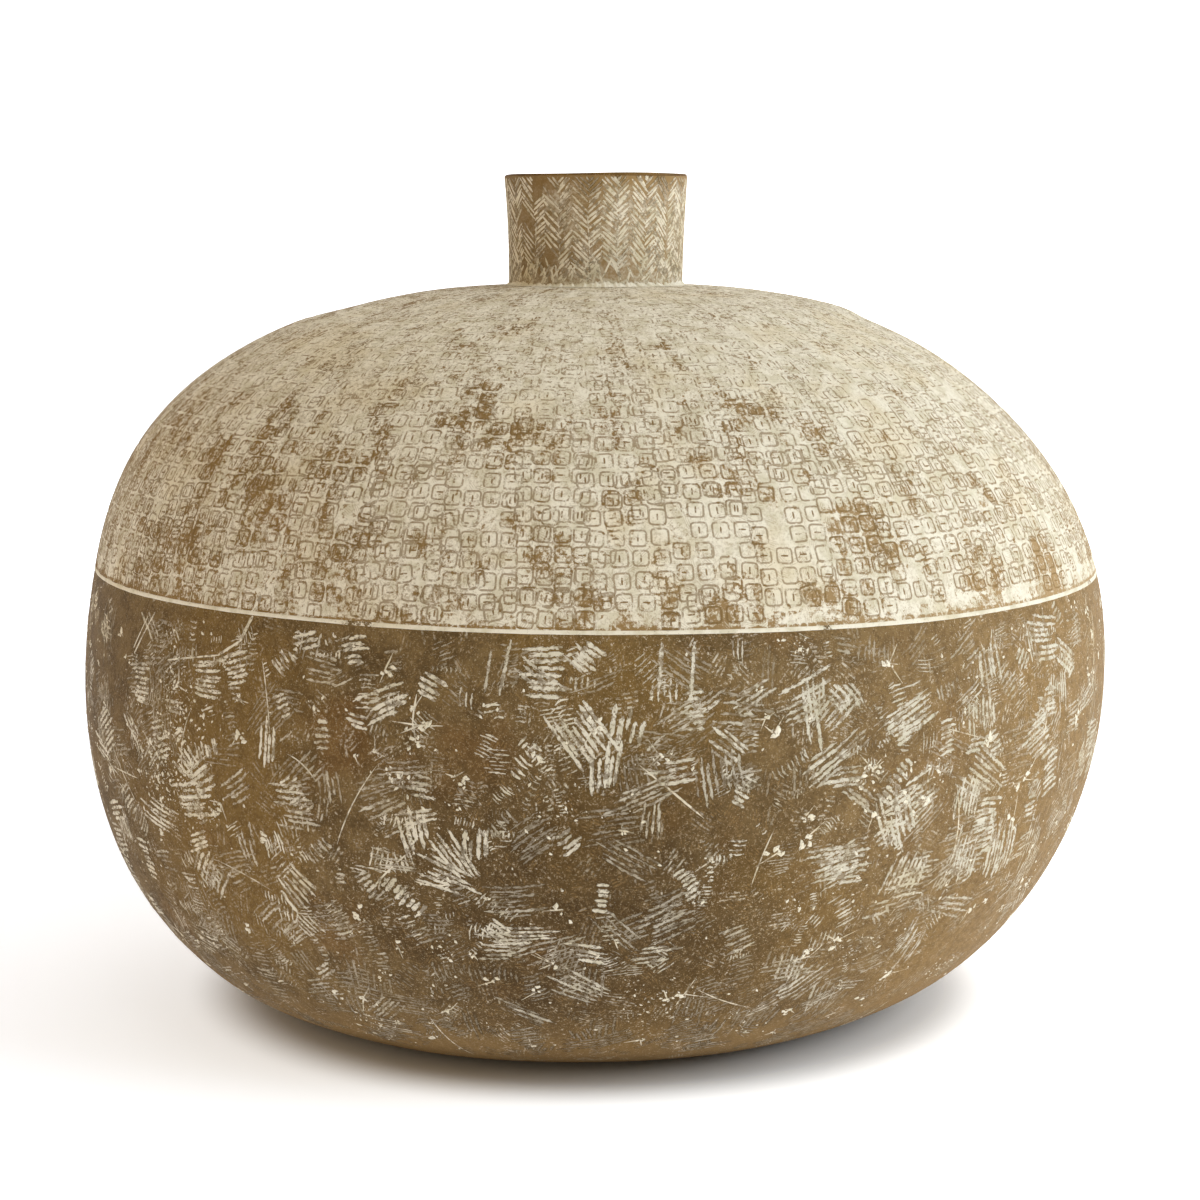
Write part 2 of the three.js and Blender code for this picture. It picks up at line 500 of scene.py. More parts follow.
def rows_of(mesh, first_row, last_row, slot, around=AROUND):
    """Gives the faces between two rows of rings another material slot."""
    index = np.zeros(len(mesh.polygons), np.int32)
    mesh.polygons.foreach_get("material_index", index)
    index[first_row * around : last_row * around] = slot
    mesh.polygons.foreach_set("material_index", index)


print("a ring has", len(plain_ring(BELLY_RADIUS, BELLY_HEIGHT)), "points")

# %% [markdown]
# The lower wall is the open bowl of the belly. It stands on the rim of the foot
# slab, and its top edge has a small step that holds the slip of the belt line.
# Sculpting could make it too, but with far more faces and not from a few sizes.
# Rows about 3 mm apart keep the slow swellings round, and the fine marks of the
# comb are left to strokes and to the material.

# %% Lower wall
ROW = 3 * MM
INSIDE_ROW = 4 * ROW
GROOVE_HALF = 0.8 * MM
GROOVE_DEPTH = 1.4 * MM
SEAM_GAP = 0.3 * MM
BEVEL_DROP = 4 * MM
BELT_FADE = 40 * MM

SEAM_STATION = station_at(BELT_HEIGHT - BEVEL_DROP, WALL)
CORNER_STATION = station_at(FLOOR_HEIGHT, WALL)


def spaced(start, end, step=ROW):
    return np.linspace(start, end, max(2, round(abs(end - start) / step) + 1))


def follow_at(station):
    """Rings copy the drift of the belt line next to it and not far from it."""
    return float(soft(1 - abs(station - BELT_STATION) / BELT_FADE))


def lower_wall_mesh():
    top = BELT_STATION - GROOVE_HALF
    outside_rows = spaced(FOOT_STATION, top)
    rings = [outer_ring(at, follow=follow_at(at)) for at in outside_rows]
    rings.append(outer_ring(top, -GROOVE_DEPTH, 1))
    rings.append(outer_ring(BELT_STATION - SEAM_GAP / 2, -GROOVE_DEPTH, 1))
    inside_rows = spaced(SEAM_STATION, CORNER_STATION, INSIDE_ROW)
    rings.extend(inner_ring(at, follow=follow_at(at)) for at in inside_rows)
    mesh = skin("lower_wall_shell", rings)
    rows_of(mesh, len(outside_rows), len(rings), 1)
    return mesh


lower_mesh = lower_wall_mesh()
print("lower wall rows:", len(lower_mesh.vertices) // AROUND)

# %% [markdown]
# The dome carries the stamped squares. They were pressed in with a small bar of
# squares, strip by strip from the belt up to the neck, and the strips crowd and
# overlap where the dome narrows. So the mesh columns are shared out to strips,
# and each strip has its own UV grid: one unit of UV is one stamped square. The
# material reads that grid, and the raised edges of the squares are laid on it.

# %% Strips of stamped squares
STAMP_TALL = 8.6 * MM
STAMP_SIDE = 6.6 * MM
STRIP_COLUMNS = (7, 9)
STRIP_SEED = 5
STRIP_TILT = 2.0
STAMP_PITCH = 7.8 * MM
BELT_RADIUS = radius_at(BELT_STATION)

dice = random.Random(STRIP_SEED)


def make_strips():
    """Each strip: its columns, its middle angle, squares across, pitch and tilt."""
    strips = []
    start = 0
    while start < AROUND:
        width = dice.randint(*STRIP_COLUMNS)
        if AROUND - start - width < STRIP_COLUMNS[0]:
            width = AROUND - start
        arc = width * math.tau / AROUND * BELT_RADIUS
        across = max(2, round(arc / STAMP_PITCH))
        strips.append(
            {
                "start": start,
                "end": start + width,
                "middle": (start + width / 2) * math.tau / AROUND,
                "half": width / 2 * math.tau / AROUND,
                "across": across,
                "pitch": arc / across * dice.uniform(0.97, 1.03),
                "tilt": math.radians(dice.uniform(-STRIP_TILT, STRIP_TILT)),
                "rise": dice.uniform(-2.5, 2.5) * MM,
                "mess": dice.random(),
            }
        )
        start += width
    return strips


STRIPS = make_strips()


def strip_grid(strip, turn, station):
    """Where a point lies in a strip, counted in squares across and up."""
    radius = outside(station)[..., 0]
    across = radius * (turn - strip["middle"])
    up = station - BELT_STATION - strip["rise"]
    tilt = strip["tilt"]
    u = (across * math.cos(tilt) + up * math.sin(tilt)) / strip["pitch"] + strip["across"] / 2
    v = (up * math.cos(tilt) - across * math.sin(tilt)) / STAMP_TALL
    return u, v


print(len(STRIPS), "strips of", sorted({strip["across"] for strip in STRIPS}), "squares")

# %% Dome
DOME_REBATE = 3 * MM
NECK_MARGIN = 2 * MM


def station_where_radius(radius):
    """The station on the dome at which it has narrowed to a radius."""
    dome = OUTLINE[:, 1] > BELLY_HEIGHT
    return float(np.interp(-radius, -OUTLINE[dome, 0], STATIONS[dome]))


def lay_grid(mesh, rows):
    """Writes the strips' grids as UVs on the outside faces, one strip at a time."""
    grid = np.zeros((len(mesh.loops), 2), np.float32)
    for strip in STRIPS:
        for row in range(len(rows) - 1):
            stations = np.array([rows[row], rows[row], rows[row + 1], rows[row + 1]])
            for column in range(strip["start"], strip["end"]):
                turn = np.array([column, column + 1, column + 1, column]) * math.tau / AROUND
                u, v = strip_grid(strip, turn, stations)
                first = (row * AROUND + column) * 4
                grid[first : first + 4] = np.stack([u, v], -1)
    layer = mesh.uv_layers.new(name="stamp_grid")
    layer.data.foreach_set("uv", grid.ravel())


def dome_mesh():
    """Up the outside, over the rebate for the collar and down to the belt inside."""
    foot = BELT_STATION + GROOVE_HALF
    top = station_where_radius(COLLAR_RADIUS + NECK_MARGIN)
    outside_rows = spaced(foot, top)
    rings = [outer_ring(at, follow=follow_at(at)) for at in outside_rows]
    rings.append(plain_ring(COLLAR_RADIUS + SEAM_GAP, DOME_HEIGHT))
    rings.append(plain_ring(COLLAR_RADIUS + SEAM_GAP, DOME_HEIGHT - DOME_REBATE))
    rings.append(plain_ring(COLLAR_RADIUS - COLLAR_WALL, DOME_HEIGHT - DOME_REBATE))
    rings.append(plain_ring(COLLAR_RADIUS - COLLAR_WALL, DOME_HEIGHT - WALL))
    inside_rows = spaced(station_where_radius(COLLAR_RADIUS), SEAM_STATION, INSIDE_ROW)
    rings.extend(inner_ring(at, follow=follow_at(at)) for at in inside_rows)
    rings.append(outer_ring(BELT_STATION + SEAM_GAP / 2, -GROOVE_DEPTH, 1))
    rings.append(outer_ring(foot, -GROOVE_DEPTH, 1))
    mesh = skin("dome_shell", rings)
    rows_of(mesh, len(outside_rows), len(rings), 1)
    lay_grid(mesh, outside_rows)
    return mesh


dome = dome_mesh()
print("dome rows:", len(dome.vertices) // AROUND)

# %% [markdown]
# The foot slab is the floor of the vessel. Its edge carries on the line of the
# belly, so no step shows. Its underside is flat and bare, as a foot is when the
# slip is wiped off before the firing. A flat cylinder would nearly do, but rings
# let its rim follow the outline of the wall.

# %% Foot slab
FOOT_EDGE = 1.2 * MM
DISC_SHARES = (0.25, 0.5, 0.75, 0.92)


def foot_mesh():
    """Out along the underside, up the rim and in along the floor, with two fans."""
    rim = FOOT_RADIUS - FOOT_EDGE
    rings = [plain_ring(rim * share, 0.0) for share in (*DISC_SHARES, 1.0)]
    under_rows = len(rings) - 1
    rings.extend(outer_ring(at) for at in spaced(FOOT_EDGE, FOOT_STATION))
    wall_rows = len(rings) - 1
    top = radius_at(FOOT_STATION) - WALL
    rings.extend(plain_ring(top * share, FLOOR_HEIGHT) for share in reversed(DISC_SHARES))
    bottom = (float(lean(np.array(0.0))), 0, 0)
    over = (float(lean(np.array(FLOOR_HEIGHT))), 0, FLOOR_HEIGHT)
    mesh = skin("foot_slab", rings, (bottom, over))
    fans = len(rings) - 1
    for first, last, slot in (
        (0, under_rows, 1),
        (wall_rows, fans, 2),
        (fans, fans + 1, 1),
        (fans + 1, fans + 2, 2),
    ):
        rows_of(mesh, first, last, slot)
    return mesh


foot = foot_mesh()
print("foot slab rows:", len(foot.vertices) // AROUND)

# %% [markdown]
# The collar is a short strap of clay set on the dome. It is a little out of
# round and opens slightly towards its lip, which is softly rounded by a wet
# thumb and not quite level. A cylinder with Solidify and Bevel modifiers would
# be an even tube, so its rings are worked out one by one, as the wall's are.

# %% Collar
COLLAR_AROUND = 192
COLLAR_TURNS = turns_of(COLLAR_AROUND)
COLLAR_ROWS = 23
LIP_STEPS = 6
COLLAR_FOOT = DOME_HEIGHT - DOME_REBATE + SEAM_GAP
LIP_HEIGHT = RIM_HEIGHT - LIP_ROUNDING


def collar_radius(height):
    """The outside of the collar, which opens more and more towards its lip."""
    share = np.clip((height - DOME_HEIGHT) / (LIP_HEIGHT - DOME_HEIGHT), 0, 1)
    return COLLAR_RADIUS + (RIM_RADIUS - COLLAR_RADIUS) * share**2


def collar_points(turn, height, rise=0.0):
    wander = 0.22 * MM * np.sin(2 * turn + 0.6) + 0.12 * MM * np.sin(5 * turn + 90 * height)
    radius = collar_radius(height) + wander + rise
    return stand(radius, height, turn)


def lip_wave(turn):
    """How far the lip stands over its even height."""
    return 0.35 * MM * np.sin(turn + 2.2) + 0.15 * MM * np.sin(4 * turn) - 0.3 * MM


def collar_mesh():
    heights = np.linspace(COLLAR_FOOT, LIP_HEIGHT, COLLAR_ROWS)
    turns = COLLAR_TURNS
    rings = [collar_points(turns, np.full_like(turns, height)) for height in heights]
    outer = RIM_RADIUS - LIP_ROUNDING
    inner = RIM_RADIUS - COLLAR_WALL + LIP_ROUNDING
    for corner, middle in enumerate((outer, inner)):
        for step in range(LIP_STEPS + 1):
            angle = math.pi / 2 * (corner + step / LIP_STEPS)
            height = LIP_HEIGHT + LIP_ROUNDING * math.sin(angle) + lip_wave(turns) * math.sin(angle)
            rings.append(stand(middle + LIP_ROUNDING * math.cos(angle) + 0 * turns, height, turns))
    for height in heights[::-2]:
        rings.append(plain_ring(collar_radius(height) - COLLAR_WALL, height, turns))
    mesh = skin("collar_shell", rings)
    rows_of(mesh, COLLAR_ROWS - 1, len(rings), 1, COLLAR_AROUND)
    return mesh


collar = collar_mesh()
print("collar rows:", len(collar.vertices) // COLLAR_AROUND)

# %% [markdown]
# The belt line is pale slip pressed into the groove over the seam. Its width
# wanders as the hand did, and it is a hair proud of the clay, so the light
# catches it. A curve with a round bevel could run along the belt, but it would
# be as wide everywhere, while in a skin of rings each edge wanders. The bead at
# the neck is the same slip, smeared into the corner.

# %% Belt line
LINE_AROUND = 1536
LINE_SEED = 3
LINE_HALF = 0.98 * MM
LINE_WANDER = 0.07 * MM
LINE_WAVES = (3, 8, 19, 43, 97)
LINE_PROUD = 0.12 * MM
LINE_HEM = -0.06 * MM
LINE_LIP = -0.3 * MM
# Across the line in half widths, and how far it stands over the wall there.
CROWN = (
    (-1, LINE_HEM),
    (-0.6, 0.8 * LINE_PROUD),
    (0, LINE_PROUD),
    (0.6, 0.8 * LINE_PROUD),
    (1, LINE_HEM),
)


def wander(seed, turns, counts, size):
    """A closed wavering line: a few whole waves round the vessel."""
    rolls = random.Random(seed)
    total = 0 * turns
    for count in counts:
        total = total + rolls.uniform(0.4, 1) * np.sin(count * turns + rolls.random() * 6.3)
    return total * size


def belt_line_mesh():
    """A low crown over the clay, on a stem that fills the groove."""
    turns = turns_of(LINE_AROUND)
    half = LINE_HALF + wander(LINE_SEED, turns, LINE_WAVES, LINE_WANDER)
    middle = BELT_STATION + belt_drift(turns)
    edge = GROOVE_HALF - SEAM_GAP / 4
    floor = -GROOVE_DEPTH + SEAM_GAP
    section = [(share * half, rise) for share, rise in CROWN]
    section += [(edge, LINE_LIP), (edge, floor), (-edge, floor), (-edge, LINE_LIP)]
    return skin("belt_line", [wall_points(turns, middle + aside, rise) for aside, rise in section])


belt_mesh = belt_line_mesh()
print("belt line:", len(belt_mesh.polygons), "faces")

# %% Bead at the neck
BEAD_AROUND = 768
BEAD_SEED = 8
BEAD_STEPS = 6
BEAD_WIDTH = 2.4 * MM
BEAD_HEIGHT = 1.6 * MM
BEAD_WANDER = 0.4 * MM
BEAD_WAVES = (5, 11, 23, 47, 90, 141)
BEAD_PROUD = 0.15 * MM
BEAD_HOLLOW = 1.7


def neck_bead_mesh():
    """A hollow fillet that runs out on the dome and up the collar."""
    turns = turns_of(BEAD_AROUND)
    wide = BEAD_WIDTH + wander(BEAD_SEED, turns, BEAD_WAVES, BEAD_WANDER)
    tall = BEAD_HEIGHT + wander(BEAD_SEED + 1, turns, BEAD_WAVES, BEAD_WANDER)
    crown = DOME_HEIGHT + BEAD_PROUD
    heel = COLLAR_RADIUS + SEAM_GAP + 0 * turns
    rings = []
    for step in range(BEAD_STEPS + 1):
        share = step / BEAD_STEPS
        out = wide * (1 - share) ** BEAD_HOLLOW
        up = tall * share**BEAD_HOLLOW
        drop = (out + 0.5 * MM) * math.tan(SHOULDER_SLOPE)
        rings.append(stand(heel - 0.3 * MM * share + out, crown - drop + up, turns))
    rings.append(stand(heel - 0.4 * MM, crown - 0.4 * MM + 0 * turns, turns))
    return skin("neck_bead", rings)


bead = neck_bead_mesh()
print("bead:", len(bead.polygons), "faces")

# %% [markdown]
# The clay is a brown stoneware body. Fired in a kiln it turns out uneven: dark
# and mid brown clouds, some ochre, some rust, with a fine sandy grain. An image
# could hold it, but noise needs no unwrapping and stays sharp close by. More
# than one finish uses it, so it is a shader group. It reads Object coordinates,
# so two pieces that meet show the same clouds and the seam between them hides.

# %% Colours of the clay and the slip
DARK_CLAY = colour(88, 70, 44)
MID_CLAY = colour(113, 92, 60)
OCHRE_CLAY = colour(118, 92, 49)
RUST_CLAY = colour(112, 77, 39)
PIT_CLAY = colour(52, 38, 18)
SHADE_AND_SMOKE_CLAY = colour(60, 43, 23)
SHEEN_PAINTED_CLAY = colour(150, 121, 82)
FLECK_CLAY = colour(150, 120, 77)
STAIN_AND_SHEEN_CLAY = colour(176, 148, 108)
PALE_SLIP = colour(222, 214, 197)
THIN_SLIP = colour(203, 194, 171)
WARM_SLIP = colour(210, 194, 162)
THICK_SLIP = colour(236, 228, 206)
print("thick slip is", round(THICK_SLIP[1] / DARK_CLAY[1]), "times as bright as dark clay")

# %% A helper for shader groups
FLOAT = "NodeSocketFloat"
VECTOR = "NodeSocketVector"
COLOUR = "NodeSocketColor"
ORIGIN = (0, 0, 0)


def effect(name, takes, gives):
    """An empty shader group: its wires, what it is given and what it makes."""
    tree = bpy.data.node_groups.new(name, "ShaderNodeTree")
    for label, kind, value in takes:
        socket = tree.interface.new_socket(label, in_out="INPUT", socket_type=kind)
        socket.default_value = value
    for label, kind in gives:
        tree.interface.new_socket(label, in_out="OUTPUT", socket_type=kind)
    given = tree.nodes.new("NodeGroupInput").outputs
    made = tree.nodes.new("NodeGroupOutput").inputs
    return Wires(tree), given, made


print("groups put out only", FLOAT, VECTOR, "and", COLOUR)

# %% Shader group: the clay body
ELSEWHERE = (3.1, 1.7, 0.4)
# Darker clouds and their reach: the first, low on the front, is painted shade, the others smoked
# clay.
SHADE_AND_SMOKE_CLOUDS = (
    ((0.0, -0.225, 0.078), 130 * MM),
    ((-0.17, 0.15, 0.09), 120 * MM),
    ((0.12, 0.2, 0.05), 110 * MM),
)


def clay_effect():
    """Clouds first, then painted shade and smoke, a painted sheen on the right side, mottling, pits
    and dust.
    """
    takes = [("Place", VECTOR, ORIGIN)]
    wires, given, made = effect("clay body", takes, [("Color", COLOUR), ("Height", FLOAT)])
    place = given["Place"]
    elsewhere = wires.vector("ADD", place, ELSEWHERE)
    cloud = wires.noise(place, 60, 4, 0.65)
    grain = wires.noise(place, 850, 3, 0.7)
    ochre = wires.patches(place, (9, 3, 0.55), (0.5, 0.66, 0, 0.75))
    rust = wires.patches(elsewhere, (17, 3, 0.6), (0.55, 0.7, 0, 0.4))
    mottle = wires.patches(place, (260, 3, 0.7), (0.44, 0.6, 0, 0.26))
    dusty = wires.patches(elsewhere, (1700, 1, 0.5), (0.62, 0.74, 0, 0.35))
    brown = wires.blend(wires.step(cloud, 0.36, 0.62), DARK_CLAY, MID_CLAY)
    brown = wires.blend(ochre, brown, OCHRE_CLAY)
    brown = wires.blend(rust, brown, RUST_CLAY)
    for spot, reach in SHADE_AND_SMOKE_CLOUDS:
        shade_and_smoke = wires.step(wires.distance(place, spot), 0.25 * reach, reach, 0.6, 0)
        brown = wires.blend(shade_and_smoke, brown, SHADE_AND_SMOKE_CLAY)
    # Painted sheen: the clay is lighter towards the right, where the main lamp falls.
    painted_sheen = wires.step(wires.parts(place)[0], 0.02, 0.25, 0, 0.72)
    brown = wires.blend(painted_sheen, brown, SHEEN_PAINTED_CLAY)
    brown = wires.blend(mottle, brown, SHADE_AND_SMOKE_CLAY)
    brown = wires.blend(wires.step(grain, 0.56, 0.74, 0, 0.55), brown, PIT_CLAY)
    wires.feed(made["Color"], wires.blend(dusty, brown, WARM_SLIP))
    wires.feed(made["Height"], wires.times_plus(cloud, 0.5, wires.times(grain, -0.5)))
    return wires.tree


CLAY = clay_effect()
print("clay group:", len(CLAY.nodes), "nodes")

# %% [markdown]
# Slip is liquid clay. It dries to a chalky cream, a little greyer where it is
# thin. The worn edges, streaks and patches follow the round wall, and they are
# taller than wide, as the cloth that wiped the slip off went up and down. So a
# second group unrolls the wall: it turns a place in space into a place on a
# drum, which has no seam and lets a pattern be stretched upwards.

# %% Shader groups: slip and the unrolled wall


def slip_effect():
    wires, given, made = effect("slip", [("Place", VECTOR, ORIGIN)], [("Color", COLOUR)])
    place = given["Place"]
    thin = wires.patches(place, (130, 4, 0.6), (0.42, 0.66))
    warm = wires.patches(place, (24, 3, 0.6), (0.48, 0.66, 0, 0.45))
    speck = wires.patches(place, (1300, 2, 0.6), (0.6, 0.72, 0, 0.35))
    cream = wires.blend(thin, PALE_SLIP, THIN_SLIP)
    cream = wires.blend(warm, cream, WARM_SLIP)
    wires.feed(made["Color"], wires.blend(speck, cream, MID_CLAY))
    return wires.tree


def unrolled_effect():
    takes = [("Place", VECTOR, ORIGIN)]
    wires, given, made = effect("unrolled wall", takes, [("Unrolled", VECTOR)])
    right, away, up = wires.parts(given["Place"])
    flat = wires.point(right, away)
    radius = wires.vector("LENGTH", flat, out="Value")
    drum = wires.vector("MULTIPLY", wires.vector("NORMALIZE", flat), (BELT_RADIUS,) * 3)
    angle = wires.math("ARCTAN2", wires.minus(up, BELLY_HEIGHT), radius)
    climb = wires.point(up=wires.times(angle, BELLY_RADIUS))
    wires.feed(made["Unrolled"], wires.vector("ADD", drum, climb))
    return wires.tree


SLIP = slip_effect()
UNROLLED = unrolled_effect()
print("slip and unrolled wall:", len(SLIP.nodes), len(UNROLLED.nodes), "nodes")

# %% [markdown]
# Comb marks come in patches of parallel strokes, each patch turned its own way,
# dry and broken at the edges. The group finds the nearest patch centre with a
# Voronoi texture, takes the patch's angle from its random colour, and counts
# strokes across it. The larger patches are laid as real strokes further down.
# This one gives the many fine ones between them, at no cost in faces.

# %% Shader group: a place in a comb patch
COMB_INPUTS = [
    ("Unrolled", VECTOR, ORIGIN),
    ("Shift", VECTOR, ORIGIN),
    ("Patches", FLOAT, 40.0),
    ("Pitch", FLOAT, 2 * MM),
    ("Length", FLOAT, 14 * MM),
    ("Breadth", FLOAT, 10 * MM),
    ("Share", FLOAT, 0.6),
    ("Fill", FLOAT, 0.5),
]
SWAY = 3 * MM


def patch_place(wires, given):
    """How far a point lies along and across the strokes of its patch, and three rolls."""
    shifted = wires.vector("ADD", given["Unrolled"], given["Shift"])
    keys = {"Vector": shifted, "Scale": given["Patches"]}
    cell = wires.add("ShaderNodeTexVoronoi", keys, out=None).outputs
    rolls = wires.add("ShaderNodeSeparateColor", {0: cell["Color"]}, out=None).outputs
    centre = wires.vector("SUBTRACT", cell["Position"], given["Shift"])
    offset = wires.vector("SUBTRACT", given["Unrolled"], centre)
    middle = wires.parts(centre)
    level = wires.vector("NORMALIZE", wires.point(wires.times(middle[1], -1), middle[0]))
    side = wires.vector("DOT_PRODUCT", offset, level, out="Value")
    up = wires.parts(offset)[2]
    angle = wires.times(rolls[0], math.tau)
    cosine = wires.math("COSINE", angle)
    sine = wires.math("SINE", angle)
    along = wires.plus(wires.times(side, cosine), wires.times(up, sine))
    across = wires.minus(wires.times(up, cosine), wires.times(side, sine))
    sway = wires.minus(wires.noise(given["Unrolled"], 60, 1), 0.5)
    across = wires.times_plus(sway, SWAY, across)
    fan = wires.times_plus(wires.times(along, wires.minus(rolls[1], 0.5)), 40, 1)
    return along, wires.times(across, fan), rolls


print("a comb patch is set by:", [label for label, _, _ in COMB_INPUTS])

# %% Shader group: comb marks
SOFT_END = 0.8 * MM
SOFT_SIDE = 0.5 * MM


def comb_effect():
    """Dry strokes of one pitch, with ragged ends, in the share of patches that is kept."""
    wires, given, made = effect("comb marks", COMB_INPUTS, [("Mask", FLOAT)])
    along, across, rolls = patch_place(wires, given)
    count = wires.math("DIVIDE", across, given["Pitch"])
    index = wires.math("ROUND", count)
    inside = wires.times(wires.math("ABSOLUTE", wires.minus(count, index)), 2)
    tag = wires.point(index, rolls[0], rolls[1])
    roll = wires.add("ShaderNodeTexWhiteNoise", {"Vector": tag}, out="Value")
    end = wires.times(wires.minus(roll, 0.5), given["Length"])
    reach = wires.times(given["Length"], wires.times_plus(rolls[1], 0.3, 0.28))
    far = wires.math("ABSOLUTE", wires.times_plus(end, 0.55, along))
    ends = wires.step(wires.minus(far, reach), -SOFT_END, SOFT_END, 1, 0)
    half = wires.times(given["Breadth"], wires.times_plus(rolls[0], 0.25, 0.3))
    beyond = wires.minus(wires.math("ABSOLUTE", across), half)
    sides = wires.step(beyond, -SOFT_SIDE, SOFT_SIDE, 1, 0)
    fibre = wires.point(
        wires.times(along, 160), wires.times(across, 1100), wires.times(rolls[1], 60)
    )
    dry = wires.minus(wires.noise(fibre, 1, 3, 0.65), 0.5)
    edge = wires.minus(wires.times_plus(dry, 2.2, inside), given["Fill"])
    stroke = wires.step(edge, -0.14, 0.2, 1, 0)
    kept = wires.math("LESS_THAN", rolls[2], given["Share"])
    mask = wires.times(wires.times(stroke, ends), wires.times(sides, kept))
    wires.feed(made["Mask"], mask)
    return wires.tree


COMB = comb_effect()
print("comb group:", len(COMB.nodes), "nodes")

# %% [markdown]
# Finishes of the walls. Each one is a Principled shader of its own. The groups
# give its colour, its roughness and the height for a fine bump, and nothing in
# it reads the camera, so the marks stay put when the vessel is turned.

# %% A helper for finishes
BUMP_DEPTH = 0.35 * MM
CLAY_ROUGHNESS = 0.66
SLIP_ROUGHER = 0.2
SPECULAR = 0.06


class Finish:
    """A material with its wires, its Object coordinates and the shared groups."""

    def __init__(self, name):
        self.material = bpy.data.materials.new(name)
        self.material.use_nodes = True
        self.wires = Wires(self.material.node_tree)
        self.shader = self.material.node_tree.nodes["Principled BSDF"]
        self.place = self.wires.add("ShaderNodeTexCoord", out="Object")

    def group(self, tree, inputs, out=None):
        return self.wires.add("ShaderNodeGroup", inputs, out=out, node_tree=tree)

    def clay(self):
        return self.group(CLAY, {"Place": self.place}).outputs

    def slip(self):
        return self.group(SLIP, {"Place": self.place}, out="Color")

    def unrolled(self):
        return self.group(UNROLLED, {"Place": self.place}, out="Unrolled")

    def comb(self, unrolled, **settings):
        """Fine comb marks, with a value for each input of the group."""
        inputs = {name.title(): value for name, value in settings.items()}
        return self.group(COMB, {"Unrolled": unrolled, **inputs}, out="Mask")

    def surface(self, colours, height, cover):
        """Chalky slip is a little rougher than the fired clay round it."""
        wires = self.wires
        wires.feed(self.shader.inputs["Base Color"], colours)
        rough = wires.times_plus(cover, SLIP_ROUGHER, CLAY_ROUGHNESS)
        wires.feed(self.shader.inputs["Roughness"], rough)
        self.shader.inputs["Specular IOR Level"].default_value = SPECULAR
        bump = wires.add("ShaderNodeBump", {"Distance": BUMP_DEPTH, "Height": height})
        wires.feed(self.shader.inputs["Normal"], bump)
        return self.material

    def slipped(self, clay, under, cover, slip):
        """Slip over a colour of the clay, where the cover isn't 0."""
        return self.surface(self.wires.blend(cover, under, slip), clay["Height"], cover)


print("roughness:", CLAY_ROUGHNESS, "for clay,", round(CLAY_ROUGHNESS + SLIP_ROUGHER, 2), "for slip")

# %% Combed clay of the lower wall
SMALL_COMB = {
    "shift": (0.9, 0.7, 0.5),
    "patches": 62,
    "pitch": 1.9 * MM,
    "length": 11 * MM,
    "breadth": 9 * MM,
    "share": 0.5,
    "fill": 0.4,
}
FINE_COMB = {
    "shift": (0.2, 1.3, 0.8),
    "patches": 105,
    "pitch": 1.4 * MM,
    "length": 8 * MM,
    "breadth": 8 * MM,
    "share": 0.85,
    "fill": 0.4,
}


def combed_clay():
    """Pale small marks, golden fine ones, grit, and paler clay near the foot."""
    finish = Finish("combed clay")
    wires = finish.wires
    clay = finish.clay()
    unrolled = finish.unrolled()
    _, _, up = wires.parts(finish.place)
    grit = wires.noise(finish.place, 640, 4, 0.8)
    busy = wires.patches(unrolled, (14, 3, 0.6), (0.4, 0.58, 0.25, 1))
    broken = wires.patches(finish.place, (420, 4, 0.75), (0.46, 0.6))
    small = finish.comb(unrolled, **SMALL_COMB)
    fine = finish.comb(unrolled, **FINE_COMB)
    golden = wires.step(grit, 0.48, 0.62, 0, 0.28)
    golden = wires.most(golden, wires.times(fine, broken, 0.45))
    brown = wires.blend(golden, clay["Color"], FLECK_CLAY)
    brown = wires.blend(wires.step(up, 8 * MM, 50 * MM, 0.5, 0), brown, FLECK_CLAY)
    marks = wires.times(small, broken, wires.times_plus(busy, 0.5, 0.15))
    speckle = wires.step(grit, 0.58, 0.66, 0, 0.6)
    marks = wires.most(marks, wires.times(speckle, busy))
    return finish.slipped(clay, brown, marks, finish.slip())


COMBED_CLAY = combed_clay()
print("combed clay:", len(COMBED_CLAY.node_tree.nodes), "nodes")

# %% [markdown]
# On the dome the slip lies in the pressed squares and in the gaps between them,
# and the raised edges of the squares were rubbed bare. Wear took patches of it
# off again, most of it near the belt, and it holds out longest in the gaps. The
# UV grid says how far a point is from the edge of its square.

# %% Shader group: how far a point lies outside its square
STAMP_CORNER = 1.3 * MM


def stamp_effect():
    """In metres, under 0 inside the square. Its corners are rounded."""
    wires, given, made = effect("stamp grid", [("Grid", VECTOR, ORIGIN)], [("Outside", FLOAT)])
    cell = wires.vector("SUBTRACT", wires.vector("FRACTION", given["Grid"]), (0.5, 0.5, 0))
    cell = wires.vector("ABSOLUTE", wires.vector("MULTIPLY", cell, (STAMP_PITCH, STAMP_TALL, 0)))
    straight = STAMP_SIDE / 2 - STAMP_CORNER
    corner = wires.vector("SUBTRACT", cell, (straight, straight, 0))
    corner = wires.vector("MAXIMUM", corner, ORIGIN)
    reach = wires.vector("LENGTH", corner, out="Value")
    wires.feed(made["Outside"], wires.minus(reach, STAMP_CORNER))
    return wires.tree


STAMP = stamp_effect()
print("stamp group:", len(STAMP.nodes), "nodes")
